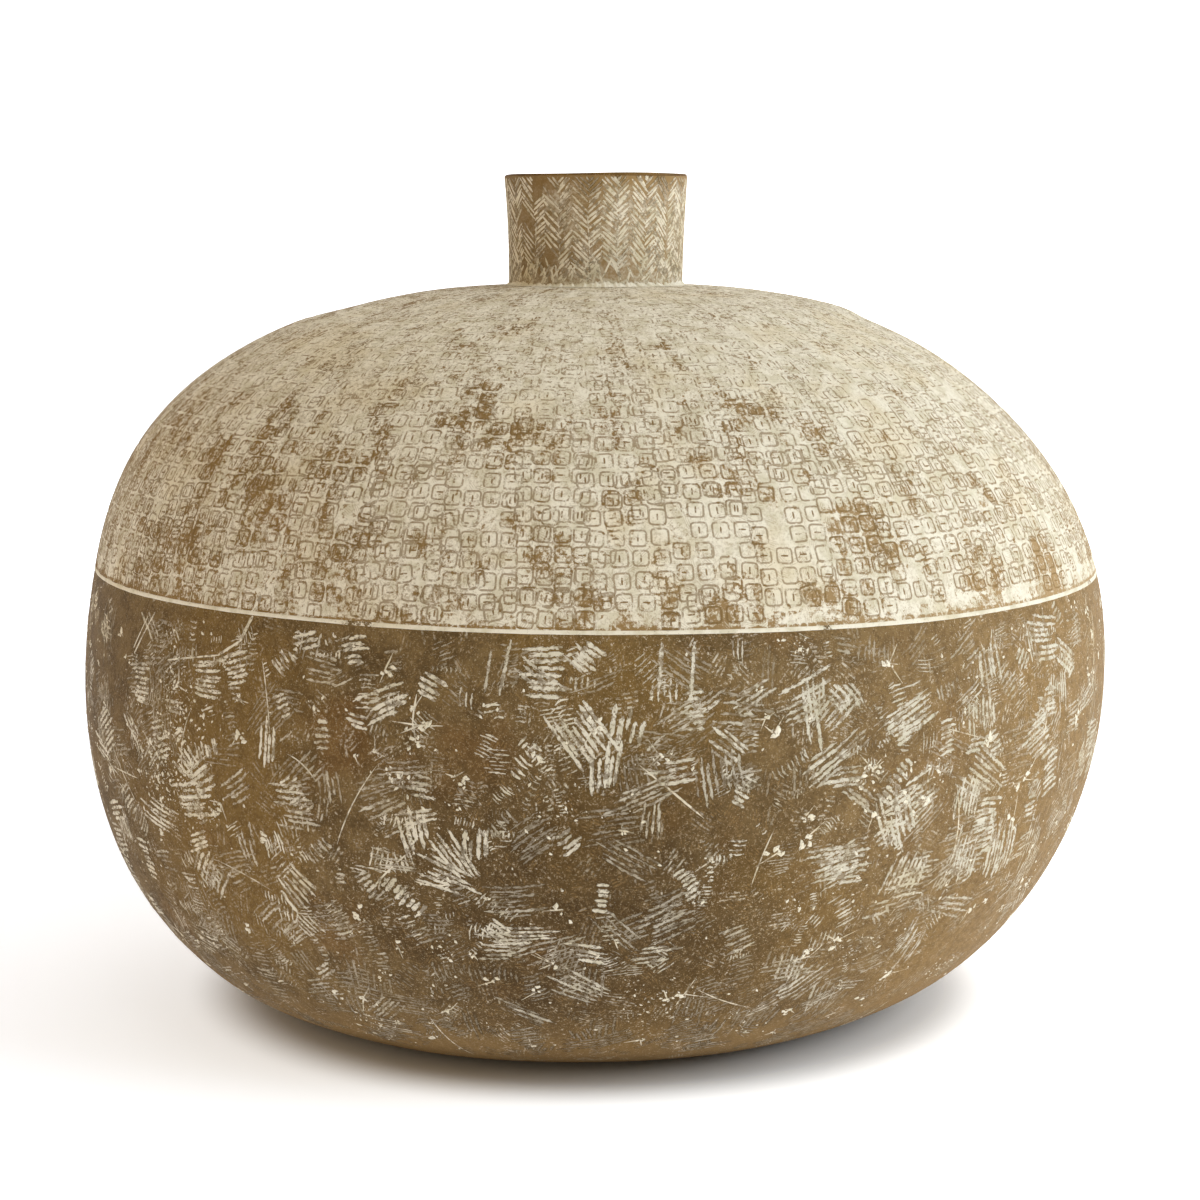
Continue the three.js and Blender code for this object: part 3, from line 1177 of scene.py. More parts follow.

# %% [markdown]
# The large worn patches stand at listed places: degrees round the axis, where
# -90 faces the viewer, millimetres up from the belt, reach in millimetres and
# depth. Layers of noise, wiped up and down, break their edges and wear the
# slip between them.

# %% The large worn patches
WORN_SPOTS = (
    (-118, 72, 36, 0.045),
    (-103, 84, 24, 0.04),
    (-134, 56, 40, 0.03),
    (-138, 16, 40, 0.035),
    (-114, 12, 36, 0.04),
    (-93, 22, 26, 0.03),
    (-79, 14, 32, 0.05),
    (-77, 58, 28, 0.04),
    (-68, 90, 24, 0.07),
    (-60, 34, 28, 0.07),
    (-61, 76, 20, 0.07),
    (-77, 130, 24, 0.045),
    (-28, 60, 30, 0.03),
    (-66, 8, 26, 0.08),
    (-47, 11, 26, 0.09),
    (-33, 9, 26, 0.09),
    (-18, 12, 26, 0.08),
    (-42, 108, 18, 0.08),
    (-38, 50, 18, 0.06),
    (40, 50, 50, 0.04),
    (105, 80, 50, 0.045),
    (160, 30, 50, 0.045),
)


def wall_spot(degrees, station):
    """A place on the wall as three plain numbers, for a material."""
    turn = np.array(math.radians(degrees))
    return tuple(float(k) for k in wall_points(turn, station))


print(len(WORN_SPOTS), "worn patches, the deepest", max(spot[3] for spot in WORN_SPOTS))

# %% Shader group: worn slip


def unrolled_height(height):
    """The unrolled height of the wall at a height of the vessel."""
    radius = radius_at(station_at(height))
    return math.atan2(height - BELLY_HEIGHT, radius) * BELLY_RADIUS


def worn_effect():
    """Where slip is left on the dome, from 0 bare to 1 whole."""
    takes = [("Place", VECTOR, ORIGIN), ("Unrolled", VECTOR, ORIGIN), ("Hold", FLOAT, 0.0)]
    wires, given, made = effect("worn slip", takes, [("Mask", FLOAT)])
    wiped = wires.vector("MULTIPLY", given["Unrolled"], (1, 1, 0.8))
    streaked = wires.vector("MULTIPLY", given["Unrolled"], (1, 1, 0.4))
    right, _, up = wires.parts(given["Unrolled"])
    belt = unrolled_height(BELT_HEIGHT)
    level = wires.times_plus(right, -BELT_TILT, up)
    low = wires.step(level, belt, belt + 40 * MM, -0.035, 0)
    high = wires.step(up, belt + 60 * MM, belt + 130 * MM, 0, 0.02)
    hem = wires.step(level, belt + 1.4 * MM, belt + 2.6 * MM, -0.12, 0)
    kept = wires.times_plus(right, 0.14, wires.plus(low, high))
    kept = wires.plus(kept, hem)
    for degrees, above, reach, depth in WORN_SPOTS:
        spot = wall_spot(degrees, BELT_STATION + above * MM)
        away = wires.distance(given["Place"], spot)
        kept = wires.plus(kept, wires.step(away, 0.2 * reach * MM, reach * MM, -depth, 0))
    for place, grain, weight in (
        (wiped, (34, 4, 0.65), 0.44),
        (streaked, (95, 3, 0.6), 0.22),
        (wiped, (150, 4, 0.7), 0.42),
        (given["Place"], (600, 4, 0.75), 0.5),
    ):
        kept = wires.times_plus(wires.noise(place, *grain), weight, kept)
    kept = wires.plus(kept, given["Hold"])
    wires.feed(made["Mask"], wires.step(kept, 0.672, 0.766))
    return wires.tree


WORN = worn_effect()
print("worn group:", len(WORN.nodes), "nodes")

# %% Stamped clay of the dome
SCUFF_COMB = {
    "shift": (0.6, 0.2, 0.9),
    "patches": 160,
    "pitch": 0.9 * MM,
    "length": 5 * MM,
    "breadth": 4 * MM,
    "share": 0.6,
    "fill": 0.3,
}


def slip_left(finish, unrolled, hold):
    """The worn slip of the dome. With hold over 0 it wears less."""
    inputs = {"Place": finish.place, "Unrolled": unrolled, "Hold": hold}
    return finish.group(WORN, inputs, out="Mask")


def stamped_clay():
    finish = Finish("stamped clay")
    wires = finish.wires
    clay = finish.clay()
    unrolled = finish.unrolled()
    side = wires.parts(finish.place)[0]
    grid = wires.add("ShaderNodeUVMap", uv_map="stamp_grid")
    outside_by = finish.group(STAMP, {"Grid": grid}, out="Outside")
    gap = wires.step(outside_by, 0.2 * MM, 0.6 * MM)
    firm = wires.patches(finish.place, (50, 3, 0.6), (0.42, 0.6, 0.01, 0.09))
    left = slip_left(finish, unrolled, wires.times(gap, firm))
    scuff = finish.comb(unrolled, **SCUFF_COMB)
    dusty = wires.patches(finish.place, (70, 3, 0.6), (0.4, 0.62, 0.02, -0.06))
    crumbs = wires.plus(wires.noise(finish.place, 700, 4, 0.75), dusty)
    dirt = wires.times(wires.step(crumbs, 0.48, 0.61), wires.step(side, -0.06, 0.12, 0.48, 0.24))
    loss = wires.most(wires.times(scuff, 0.4), dirt)
    traces = wires.times(scuff, 0.5, gap)
    flecks = wires.patches(finish.place, (420, 4, 0.75), (0.54, 0.62, 0, 0.7))
    cover = wires.most(wires.times(left, wires.minus(1, loss)), traces, flecks)
    # Bare clay is stained by slip, and painted lighter on the right as a sheen from the main lamp.
    stain_and_sheen = wires.blend(wires.step(side, -0.05, 0.2), FLECK_CLAY, STAIN_AND_SHEEN_CLAY)
    stained = wires.blend(0.6, clay["Color"], stain_and_sheen)
    return finish.slipped(clay, stained, cover, finish.slip())


STAMPED_CLAY = stamped_clay()
print("stamped clay:", len(STAMPED_CLAY.node_tree.nodes), "nodes")

# %% [markdown]
# The smaller finishes. The foot and the inside are bare clay, a little darker.
# The collar keeps smears of slip, more on the right and at its foot, and its lip
# was wiped. The belt line and the bead are slip pressed into place, and the line
# is rubbed through to the clay here and there.

# %% Bare clay and collar clay


def bare_clay(name, shade):
    """Clay without slip, for the foot, the inside, the coils and the lip."""
    finish = Finish(name)
    clay = finish.clay()
    shaded = finish.wires.blend(1.0, clay["Color"], shade, "MULTIPLY")
    return finish.surface(shaded, clay["Height"], 0.0)


def collar_clay():
    finish = Finish("collar clay")
    wires = finish.wires
    clay = finish.clay()
    side, _, up = wires.parts(finish.place)
    drum = wires.vector("MULTIPLY", finish.place, (1, 1, 0.6))
    righter = wires.step(side, -0.04, -0.005, -0.16, 0.05)
    smear = wires.step(wires.plus(wires.noise(drum, 60, 4, 0.7), righter), 0.42, 0.6, 0.13, 0.54)
    foot = wires.step(up, DOME_HEIGHT + MM, DOME_HEIGHT + 8 * MM, 0.9, 0)
    crumbs = wires.patches(finish.place, (480, 4, 0.75), (0.4, 0.62, 0.25, 1))
    wiped = wires.step(up, RIM_HEIGHT - 9 * MM, RIM_HEIGHT - 3 * MM, 1, 0.15)
    cover = wires.times(wires.most(smear, foot), crumbs, wiped)
    # Painted sheen: the stained clay is lighter on the right, where the main lamp falls.
    stained = wires.blend(wires.step(side, -0.03, 0.02, 0.4, 0.8), clay["Color"], FLECK_CLAY)
    return finish.slipped(clay, stained, cover, finish.slip())


INSIDE_CLAY = bare_clay("inside clay", (0.8, 0.78, 0.76, 1))
FOOT_CLAY = bare_clay("foot clay", (1, 0.97, 0.94, 1))
LIP_CLAY = bare_clay("lip clay", (0.95, 0.86, 0.8, 1))
COLLAR_CLAY = collar_clay()
print("collar clay:", len(COLLAR_CLAY.node_tree.nodes), "nodes")

# %% Pale slip of the belt line and the bead
# Degrees round the axis and reach in millimetres of each rubbed place.
BELT_WORN = ((-113.7, 11), (-66.8, 4), (-20, 6), (35, 9), (81, 4), (140, 12))


def pale_slip(name, worn=(), thick=0.0, loss=0.0):
    """Slip that is worn thin at some places, and by loss all over."""
    finish = Finish(name)
    wires = finish.wires
    rubbed = loss
    for place, reach in worn:
        away = wires.distance(finish.place, place)
        rubbed = wires.most(rubbed, wires.step(away, 0.3 * reach, reach, 0.2, 0))
    ragged = wires.noise(finish.place, 560, 5, 0.8)
    cover = wires.step(wires.minus(ragged, rubbed), 0.27, 0.39)
    height = wires.times(wires.noise(finish.place, 900, 3, 0.6), 0.5)
    slip = wires.blend(thick, finish.slip(), THICK_SLIP)
    return finish.surface(wires.blend(cover, finish.clay()["Color"], slip), height, cover)


def belt_places():
    """Where the belt line is rubbed: places on the line and how far they reach."""
    places = []
    for degrees, reach in BELT_WORN:
        drift = float(belt_drift(math.radians(degrees)))
        places.append((wall_spot(degrees, BELT_STATION + drift), reach * MM))
    return places


BELT_SLIP = pale_slip("belt slip", belt_places())
BEAD_SLIP = pale_slip("bead slip")
print("finishes:", [m.name for m in bpy.data.materials])

# %% The main pieces, dressed
CAD_COILS = ("belt_seam_coil", "base_seam_coil")


def piece(name, mesh, node, slot, *materials):
    """A finished piece: its materials, the body it rides on, and a slot that is not used."""
    made = bpy.data.objects.new(name, mesh)
    scene.collection.objects.link(made)
    for material in materials:
        mesh.materials.append(material)
    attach(made, "root")
    if node:
        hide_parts(node)
    print(f"{name}: {sum(len(p.vertices) - 2 for p in mesh.polygons)} triangles")
    return made


lower_shell = piece(
    "lower_wall_shell", lower_mesh, "lower_wall", "combed_clay", COMBED_CLAY, INSIDE_CLAY
)
dome_shell = piece("dome_shell", dome, "upper_wall", "stamped_clay", STAMPED_CLAY, INSIDE_CLAY)
piece("foot_slab", foot, "base_slab", "dark_clay", COMBED_CLAY, FOOT_CLAY, INSIDE_CLAY)
collar_shell = piece("collar_shell", collar, "neck_collar", "collar_clay", COLLAR_CLAY, LIP_CLAY)
piece("belt_line", belt_mesh, "belt_slip_inlay", "pale_slip", BELT_SLIP)
piece("neck_bead", bead, "neck_fillet", "pale_slip", BEAD_SLIP)
for name in CAD_COILS:
    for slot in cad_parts[name].material_slots:
        slot.material = INSIDE_CLAY
print("coils keep their shape:", CAD_COILS)

# %% [markdown]
# Marks laid on the wall. The raised edges of the squares, the comb strokes and
# the splashes are all small low shapes that repeat hundreds of times and follow
# the round wall. One Geometry Nodes tree makes them all: it puts a mark at each
# point, turns and stretches it, bows it, and then lays every vertex on the
# wall at its own rise. The rims of a mark lie a little under the clay and its
# crest over it, so a mark swells out of the wall with no gap round it. Bump
# could draw the marks too, but a real shape also stays in an exported mesh.

# %% Geometry Nodes: stand, bow and press the marks


def named(wires, name, kind="FLOAT_VECTOR"):
    return wires.add("GeometryNodeInputNamedAttribute", {"Name": name}, data_type=kind)


def object_mesh(wires, thing):
    return wires.add("GeometryNodeObjectInfo", {"Object": thing}, out="Geometry")


def stand_marks(wires, given, facing, heading):
    """One mark at each point, lifted clear of the wall, turned and stretched."""
    lifted = wires.scaled(facing, given["Lift"])
    keys = {"Geometry": given["Points"], "Offset": lifted}
    points = wires.add("GeometryNodeSetPosition", keys)
    turned = wires.add(
        "FunctionNodeAxesToRotation",
        {"Primary Axis": facing, "Secondary Axis": heading},
        primary_axis="Z",
        secondary_axis="X",
    )
    keys = {"Points": points, "Instance": object_mesh(wires, given["Mark"])}
    keys.update({"Rotation": turned, "Scale": named(wires, "stretch")})
    marks = wires.add("GeometryNodeInstanceOnPoints", keys)
    return wires.add("GeometryNodeRealizeInstances", {"Geometry": marks})


def bow_marks(wires, marks, facing, heading):
    """Bows straight marks sideways, most at their two ends."""
    along = named(wires, "along", "FLOAT")
    bow = wires.times(along, along, named(wires, "bend", "FLOAT"))
    side = wires.vector("CROSS_PRODUCT", facing, heading)
    keys = {"Geometry": marks, "Offset": wires.scaled(side, bow)}
    return wires.add("GeometryNodeSetPosition", keys)


def press_marks(wires, marks, wall):
    """Lays every vertex on the wall at its own rise, lower where the tone is high."""
    keys = {0: object_mesh(wires, wall)}
    nearest = wires.add("GeometryNodeProximity", keys, out="Position", target_element="FACES")
    place = wires.add("GeometryNodeInputPosition")
    away = wires.vector("NORMALIZE", wires.vector("SUBTRACT", place, nearest))
    bold = wires.times_plus(named(wires, "tone", "FLOAT"), -0.5, 1.1)
    rise = wires.times(named(wires, "rise", "FLOAT"), bold)
    laid = wires.vector("ADD", nearest, wires.scaled(away, rise))
    return wires.add("GeometryNodeSetPosition", {"Geometry": marks, "Position": laid})


print("steps of the tree:", stand_marks.__name__, bow_marks.__name__, press_marks.__name__)

# %% Geometry Nodes: the whole tree
LAY_INPUTS = (
    ("Points", "NodeSocketGeometry"),
    ("Mark", "NodeSocketObject"),
    ("Wall", "NodeSocketObject"),
    ("Lift", "NodeSocketFloat"),
    ("Finish", "NodeSocketMaterial"),
)


def lay_tree():
    tree = bpy.data.node_groups.new("lay marks on a wall", "GeometryNodeTree")
    for label, kind in LAY_INPUTS:
        tree.interface.new_socket(label, in_out="INPUT", socket_type=kind)
    tree.interface.new_socket("Marks", in_out="OUTPUT", socket_type="NodeSocketGeometry")
    wires = Wires(tree)
    given = tree.nodes.new("NodeGroupInput").outputs
    made = tree.nodes.new("NodeGroupOutput").inputs
    facing = named(wires, "facing")
    heading = named(wires, "heading")
    marks = stand_marks(wires, given, facing, heading)
    marks = bow_marks(wires, marks, facing, heading)
    marks = press_marks(wires, marks, given["Wall"])
    marks = wires.add("GeometryNodeSetShadeSmooth", {"Geometry": marks})
    keys = {"Geometry": marks, "Material": given["Finish"]}
    wires.feed(made["Marks"], wires.add("GeometryNodeSetMaterial", keys))
    return tree


LAY = lay_tree()
print("lay tree:", len(LAY.nodes), "nodes")

# %% Points that carry a mark each
Mark = namedtuple("Mark", "turn up angle long wide bend tone", defaults=(0, 0))
TURN_STEP = 0.001
ENDS_ALONG = 0.5


def frame_from(places, ahead, rising):
    """At each place, the way out of the surface, the level way and the way up."""
    ahead = ahead / np.linalg.norm(ahead, axis=-1, keepdims=True)
    facing = np.cross(ahead, rising)
    facing = facing / np.linalg.norm(facing, axis=-1, keepdims=True)
    return places, facing, ahead, np.cross(facing, ahead)


def wall_frame(turn, station):
    ahead = wall_points(turn + TURN_STEP, station) - wall_points(turn - TURN_STEP, station)
    rising = wall_points(turn, station + MM) - wall_points(turn, station - MM)
    return frame_from(wall_points(turn, station), ahead, rising)


def points_mesh(frames, angle, stretch, bend, tone):
    """Loose points, each with the named values that turn and shape its mark."""
    places, facing, ahead, rising = frames
    angle = np.asarray(angle)[..., None]
    heading = ahead * np.cos(angle) + rising * np.sin(angle)
    mesh = bpy.data.meshes.new("points")
    mesh.from_pydata(places.tolist(), [], [])
    for key, value in (("facing", facing), ("heading", heading), ("stretch", stretch)):
        layer = mesh.attributes.new(key, "FLOAT_VECTOR", "POINT")
        layer.data.foreach_set("vector", np.asarray(value, np.float32).ravel())
    for key, value in (("bend", bend), ("tone", tone)):
        layer = mesh.attributes.new(key, "FLOAT", "POINT")
        layer.data.foreach_set("value", np.asarray(value, np.float32))
    return mesh


def mark_points(marks, frame_at=wall_frame):
    """Points for marks that lie on the wall, or on another surface with a frame."""
    mark = Mark(*np.array(marks).T)
    stretch = np.stack([mark.long, mark.wide, np.ones(len(mark.turn))], -1)
    bow = mark.bend / ENDS_ALONG**2
    return points_mesh(frame_at(mark.turn, mark.up), mark.angle, stretch, bow, mark.tone)


print("each mark has:", Mark._fields)

# %% Run the tree
LIFT = 2 * MM


def lay(name, points, mark, wall, finish, slot):
    """Runs the tree on the points, keeps the result as a plain mesh and piece."""
    holder = bpy.data.objects.new(name + "_points", points)
    template = bpy.data.objects.new(name + "_mark", mark)
    scene.collection.objects.link(holder)
    scene.collection.objects.link(template)
    modifier = holder.modifiers.new("lay", "NODES")
    modifier.node_group = LAY
    values = {"Mark": template, "Wall": wall, "Lift": LIFT, "Finish": finish}
    for item in LAY.interface.items_tree:
        if item.name in values:
            modifier[item.identifier] = values[item.name]
    graph = bpy.context.evaluated_depsgraph_get()
    result = holder.evaluated_get(graph)
    mesh = bpy.data.meshes.new_from_object(result, preserve_all_data_layers=True, depsgraph=graph)
    mesh.name = name
    bpy.data.objects.remove(holder)
    bpy.data.objects.remove(template)
    return piece(name, mesh, None, slot)


print("marks start", round(LIFT / MM), "mm over the wall and are pressed down on it")

# %% The shape of a mark: a ribbon
EDGE_UNDER = -0.05 * MM
# The side of each lane of a ribbon, and its share of the crest.
LANES = ((-1, 0.0), (0, 1.0), (1, 0.0))


def mark_mesh(points, faces, along, across, rises):
    mesh = bpy.data.meshes.new("mark")
    mesh.from_pydata(points, [], faces)
    for key, value in (("along", along), ("across", across), ("rise", rises)):
        layer = mesh.attributes.new(key, "FLOAT", "POINT")
        layer.data.foreach_set("value", np.asarray(value, np.float32))
    return mesh


def ribbon_mark(widths, crest):
    """A ribbon one unit long and one wide, with a raised middle lane."""
    count = len(widths)
    points, along, across, rises = [], [], [], []
    for step, width in enumerate(widths):
        at = step / (count - 1) - 0.5
        for lane, share in LANES:
            points.append((at, lane * width / 2, 0))
            along.append(at)
            across.append(lane)
            rises.append(EDGE_UNDER + share * (crest - EDGE_UNDER) * min(1, width * 1.3))
    faces = []
    for step in range(count - 1):
        for lane in range(2):
            first = step * 3 + lane
            faces.append((first, first + 3, first + 4, first + 1))
    return mark_mesh(points, faces, along, across, rises)


print("a mark's rim lies", -EDGE_UNDER / MM, "mm under the clay")

# %% The shapes of a mark: a ring and a blob
CORNER_STEPS = 2
# The size of each ring of a blob, its share of the crest, and how uneven it is.
BLOB_RINGS = ((0.55, 0.8, (0.8, 1.1)), (1.0, 0.0, (0.45, 1.25)))


def ring_mark(side, corner, width, crest):
    """The raised edge of one square: a closed ribbon with rounded corners."""
    straight = side / 2 - corner
    turns = []
    for quarter in range(4):
        middle = (straight * (1, -1, -1, 1)[quarter], straight * (1, 1, -1, -1)[quarter])
        for step in range(CORNER_STEPS + 1):
            turns.append((middle, math.pi / 2 * (quarter + step / CORNER_STEPS)))
    points, across, rises = [], [], []
    for (x, y), angle in turns:
        for lane, share in LANES:
            reach = corner + lane * width / 2
            points.append((x + reach * math.cos(angle), y + reach * math.sin(angle), 0))
            across.append(lane)
            rises.append(EDGE_UNDER + share * (crest - EDGE_UNDER))
    faces = []
    for step in range(len(turns)):
        here, after = step * 3, (step + 1) % len(turns) * 3
        for lane in range(2):
            faces.append((here + lane, here + lane + 1, after + lane + 1, after + lane))
    return mark_mesh(points, faces, [0.0] * len(points), across, rises)


def blob_mark(seed, rim, crest):
    """A splash: an uneven low dome of slip, about one unit wide."""
    rolls = random.Random(seed)
    points, rises = [(0, 0, 0)], [crest]
    for ring, share, uneven in BLOB_RINGS:
        for step in range(rim):
            angle = step * math.tau / rim
            reach = 0.5 * ring * rolls.uniform(*uneven)
            points.append((reach * math.cos(angle), reach * math.sin(angle), 0))
            rises.append(EDGE_UNDER + share * (crest - EDGE_UNDER))
    faces = [(0, 1 + step, 1 + (step + 1) % rim) for step in range(rim)]
    for step in range(rim):
        here, after = 1 + step, 1 + (step + 1) % rim
        faces.append((here, here + rim, after + rim, after))
    across = [0.0] * (rim + 1) + [1.0] * rim
    return mark_mesh(points, faces, [0.0] * len(points), across, rises)


print("a ring has", 4 * (CORNER_STEPS + 1), "steps, a blob", len(BLOB_RINGS), "rings")

# %% [markdown]
# The stamped squares. Each is a raised line round a square, with a short dash in
# its middle. An Array modifier would set them out evenly, but pressed rows drift,
# so the rows follow each strip's grid, a little shaken. Where the potter pressed
# twice, a second square lies over the first and the two make the tangled figures
# that cover much of the dome.

# %% Layout of the squares
STAMP_SEED = 21
STAMP_MISSING = 0.04
STAMP_LOW = BELT_STATION + 3.8 * MM
STAMP_HIGH = NECK_STATION - 5 * MM
STRIP_OVERLAP = 1.2 * MM
MESS_SIZE = 22


def messy(turn, station):
    """How likely a second pressing is at a place: high in slow patches."""
    x, y, z = (float(value) for value in wall_points(np.array(turn), np.array(station)))
    return 0.5 + 1.1 * noise.noise(Vector((x, y, z)) * MESS_SIZE)


def pressed(rolls, strip, across, up):
    """The square at one place of a strip's grid, perhaps none or two."""
    tilt = strip["tilt"]
    left = across * math.cos(tilt) - up * math.sin(tilt) + rolls.gauss(0, 0.22) * MM
    station = BELT_STATION + strip["rise"] + up * math.cos(tilt) + across * math.sin(tilt)
    station += rolls.gauss(0, 0.22) * MM
    angle = tilt + math.radians(rolls.gauss(0, 3))
    kept, tone, again = rolls.random(), rolls.random(), rolls.random()
    aside, higher, turned = rolls.gauss(0, 2.2) * MM, rolls.gauss(0, 2.2) * MM, rolls.gauss(0, 0.12)
    if kept < STAMP_MISSING or not STAMP_LOW < station < STAMP_HIGH:
        return []
    radius = radius_at(station)
    if abs(left) > strip["half"] * radius + STRIP_OVERLAP:
        return []
    turn = strip["middle"] + left / radius
    squares = [(turn, station, angle, tone)]
    twice = again < 0.1 + 0.55 * max(0, messy(turn, station)) + 0.15 * strip["mess"]
    if twice and STAMP_LOW < station + higher < STAMP_HIGH:
        squares.append((turn + aside / radius, station + higher, angle + turned, again))
    return squares


def stamp_layout():
    """Turn, station, angle and tone of every square."""
    rolls = random.Random(STAMP_SEED)
    rows = int((STAMP_HIGH - BELT_STATION) / STAMP_TALL) + 1
    stamps = []
    for strip in STRIPS:
        for row in range(rows):
            for column in range(strip["across"]):
                across = (column + 0.5 - strip["across"] / 2) * strip["pitch"]
                stamps.extend(pressed(rolls, strip, across, (row + 0.5) * STAMP_TALL))
    return np.array(stamps)


STAMPS = stamp_layout()
print(len(STAMPS), "stamped squares")

# %% Finish of the raised edges


def stamp_edge(name, thin, thick):
    """Bare clay, with slip left over it here and there, and more near the neck."""
    finish = Finish(name)
    wires = finish.wires
    clay = finish.clay()
    left = slip_left(finish, finish.unrolled(), -0.01)
    up = wires.parts(finish.place)[2]
    rubbed = wires.step(up, 0.75 * DOME_HEIGHT, 0.97 * DOME_HEIGHT, 0, 0.09)
    ragged = wires.plus(wires.noise(finish.place, 330, 4, 0.75), rubbed)
    cover = wires.times(left, wires.step(ragged, 0.5, 0.62, thin, thick))
    stained = wires.blend(0.4, clay["Color"], FLECK_CLAY)
    return finish.slipped(clay, stained, cover, finish.slip())


STAMP_EDGE = stamp_edge("stamp edge", 0.28, 0.92)
STAMP_DASH = stamp_edge("stamp dash", 0.05, 0.7)
print("stamp edge:", len(STAMP_EDGE.node_tree.nodes), "nodes")

# %% Raised edges and dashes of the squares
EDGE_WIDTH = 1.15 * MM
EDGE_CREST = 0.17 * MM
DASH_LENGTH = 3.0 * MM
DASH_WIDTH = 1.1 * MM
DASH_CREST = 0.16 * MM
DASHED_SHARE = 0.85
LEVEL_SHARE = 0.35
HALFWAY = BELT_STATION + 0.5 * (NECK_STATION - BELT_STATION)


def stamp_points(stamps, turned, size):
    """Points for one mark in each square: size is its length, width and height."""
    rolls = np.random.default_rng(STAMP_SEED)
    turn, station, angle, tone = stamps.T
    stretch = rolls.normal(1, 0.035, (len(stamps), 1)) * np.array(size)
    return points_mesh(wall_frame(turn, station), angle + turned, stretch, 0 * turn, tone)


for name, chosen in (
    ("stamp_edges_low", STAMPS[STAMPS[:, 1] < HALFWAY]),
    ("stamp_edges_high", STAMPS[STAMPS[:, 1] >= HALFWAY]),
):
    ring = ring_mark(STAMP_SIDE, STAMP_CORNER, EDGE_WIDTH, EDGE_CREST)
    points = stamp_points(chosen, 0, (1, 1, 1))
    lay(name, points, ring, dome_shell, STAMP_EDGE, "stamped_clay")

dice = np.random.default_rng(STAMP_SEED + 1)
dashed = STAMPS[dice.random(len(STAMPS)) < DASHED_SHARE]
upright = np.where(dice.random(len(dashed)) < LEVEL_SHARE, 0.0, math.pi / 2)
dash = ribbon_mark((0.7, 1, 0.7), DASH_CREST)
points = stamp_points(dashed, upright, (DASH_LENGTH, DASH_WIDTH, 1))
lay("stamp_dashes", points, dash, dome_shell, STAMP_DASH, "stamped_clay")

# %% [markdown]
# The belly was combed through wet slip, a short patch of parallel strokes at a
# time, each turned another way and many crossing. Each stroke is a low ribbon of
# slip. Its material breaks its edges and its body along the stroke, as a dry
# brush does, and shows clay where it breaks.

# %% Finish of slip strokes
# Painted shade for stroke slip on the right of the vessel, where the main lamp is strongest; the
# grey one also stands for thin slip.
GREY_PAINTED_SHADE = (0.8, 0.8, 0.79, 1)
CREAM_PAINTED_SHADE = (0.94, 0.9, 0.83, 1)
FULL = (1, 1, 1, 1)


def value_of(wires, name, out="Fac"):
    return wires.add("ShaderNodeAttribute", out=out, attribute_name=name)


def stroke_slip(name, dryness, fill, tint=GREY_PAINTED_SHADE):
    """Slip in a stroke: dryness says how much it breaks, fill how wide it is, tint is painted shade
    on the right.
    """
    finish = Finish(name)
    wires = finish.wires
    clay = finish.clay()
    tone = value_of(wires, "tone")
    along = value_of(wires, "along")
    across = value_of(wires, "across")
    long, wide, _ = wires.parts(value_of(wires, "stretch", "Vector"))
    fibre = wires.point(
        wires.times(along, long, 420), wires.times(across, wide, 520), wires.times(tone, 90)
    )
    dry = wires.minus(wires.noise(fibre, 1, 3, 0.7), 0.5)
    end = wires.step(wires.math("ABSOLUTE", along), 0.36, 0.5, 0, 0.3)
    edge = wires.minus(wires.plus(wires.math("ABSOLUTE", across), end), fill)
    edge = wires.times_plus(dry, dryness, edge)
    edge = wires.times_plus(tone, 0.4, edge)
    strong = wires.step(tone, 0.1, 1, 1, 0.3)
    chips = wires.patches(finish.place, (270, 3, 0.7), (0.4, 0.52, 0.3, 1))
    cover = wires.times(wires.step(edge, -0.14, 0.14, 1, 0), wires.times(strong, chips))
    # Painted shade: the slip is multiplied by the tint on the right of the vessel.
    shade = wires.blend(wires.step(wires.parts(finish.place)[0], -0.2, 0.16), FULL, tint)
    slip = wires.blend(1.0, finish.slip(), shade, "MULTIPLY")
    return finish.slipped(clay, clay["Color"], cover, slip)


COMB_SLIP = stroke_slip("comb slip", 2.7, 0.6)
SCRATCH_SLIP = stroke_slip("scratch slip", 3.2, 0.5)
print("comb slip:", len(COMB_SLIP.node_tree.nodes), "nodes")

# %% Where marks fall on the belly
COMB_LOW = FOOT_STATION + 7 * MM
COMB_TOP = BELT_STATION - 2.5 * MM
EVEN_STEPS = 400
CROWD_SIZE = 13


def random_places(rolls, count, low, high):
    """Turns and stations spread evenly over the wall between two stations."""
    stations = np.linspace(low, high, EVEN_STEPS)
    share = np.cumsum(outside(stations)[:, 0])
    picked = np.interp(rolls.random(count) * share[-1], share, stations)
    return rolls.random(count) * math.tau, picked


def crowding(places, shift):
    """Slow noise at places, about -0.5 to 0.5, to crowd and thin the marks."""
    aside = Vector((shift, 0, 0))
    return np.array([noise.noise(Vector(place) * CROWD_SIZE + aside) for place in places])


print("combed from station", round(COMB_LOW, 3), "to", round(COMB_TOP, 3))

# %% Layout of comb patches
COMB_RUN_OUT = 10 * MM
LOW_FADE = 115 * MM
# The share of patches up to here, and their middle slope and spread in degrees.
DIRECTIONS = ((0.42, 30, 12), (0.66, 4, 8), (0.88, 88, 9), (1.0, -38, 12))


def stroke_angle(rolls):
    """Most patches rise to the right, some lie level, stand up or fall."""
    roll = rolls.random()
    for share, middle, spread in DIRECTIONS:
        if roll < share:
            return math.radians(rolls.normal(middle, spread))
    return 0.0


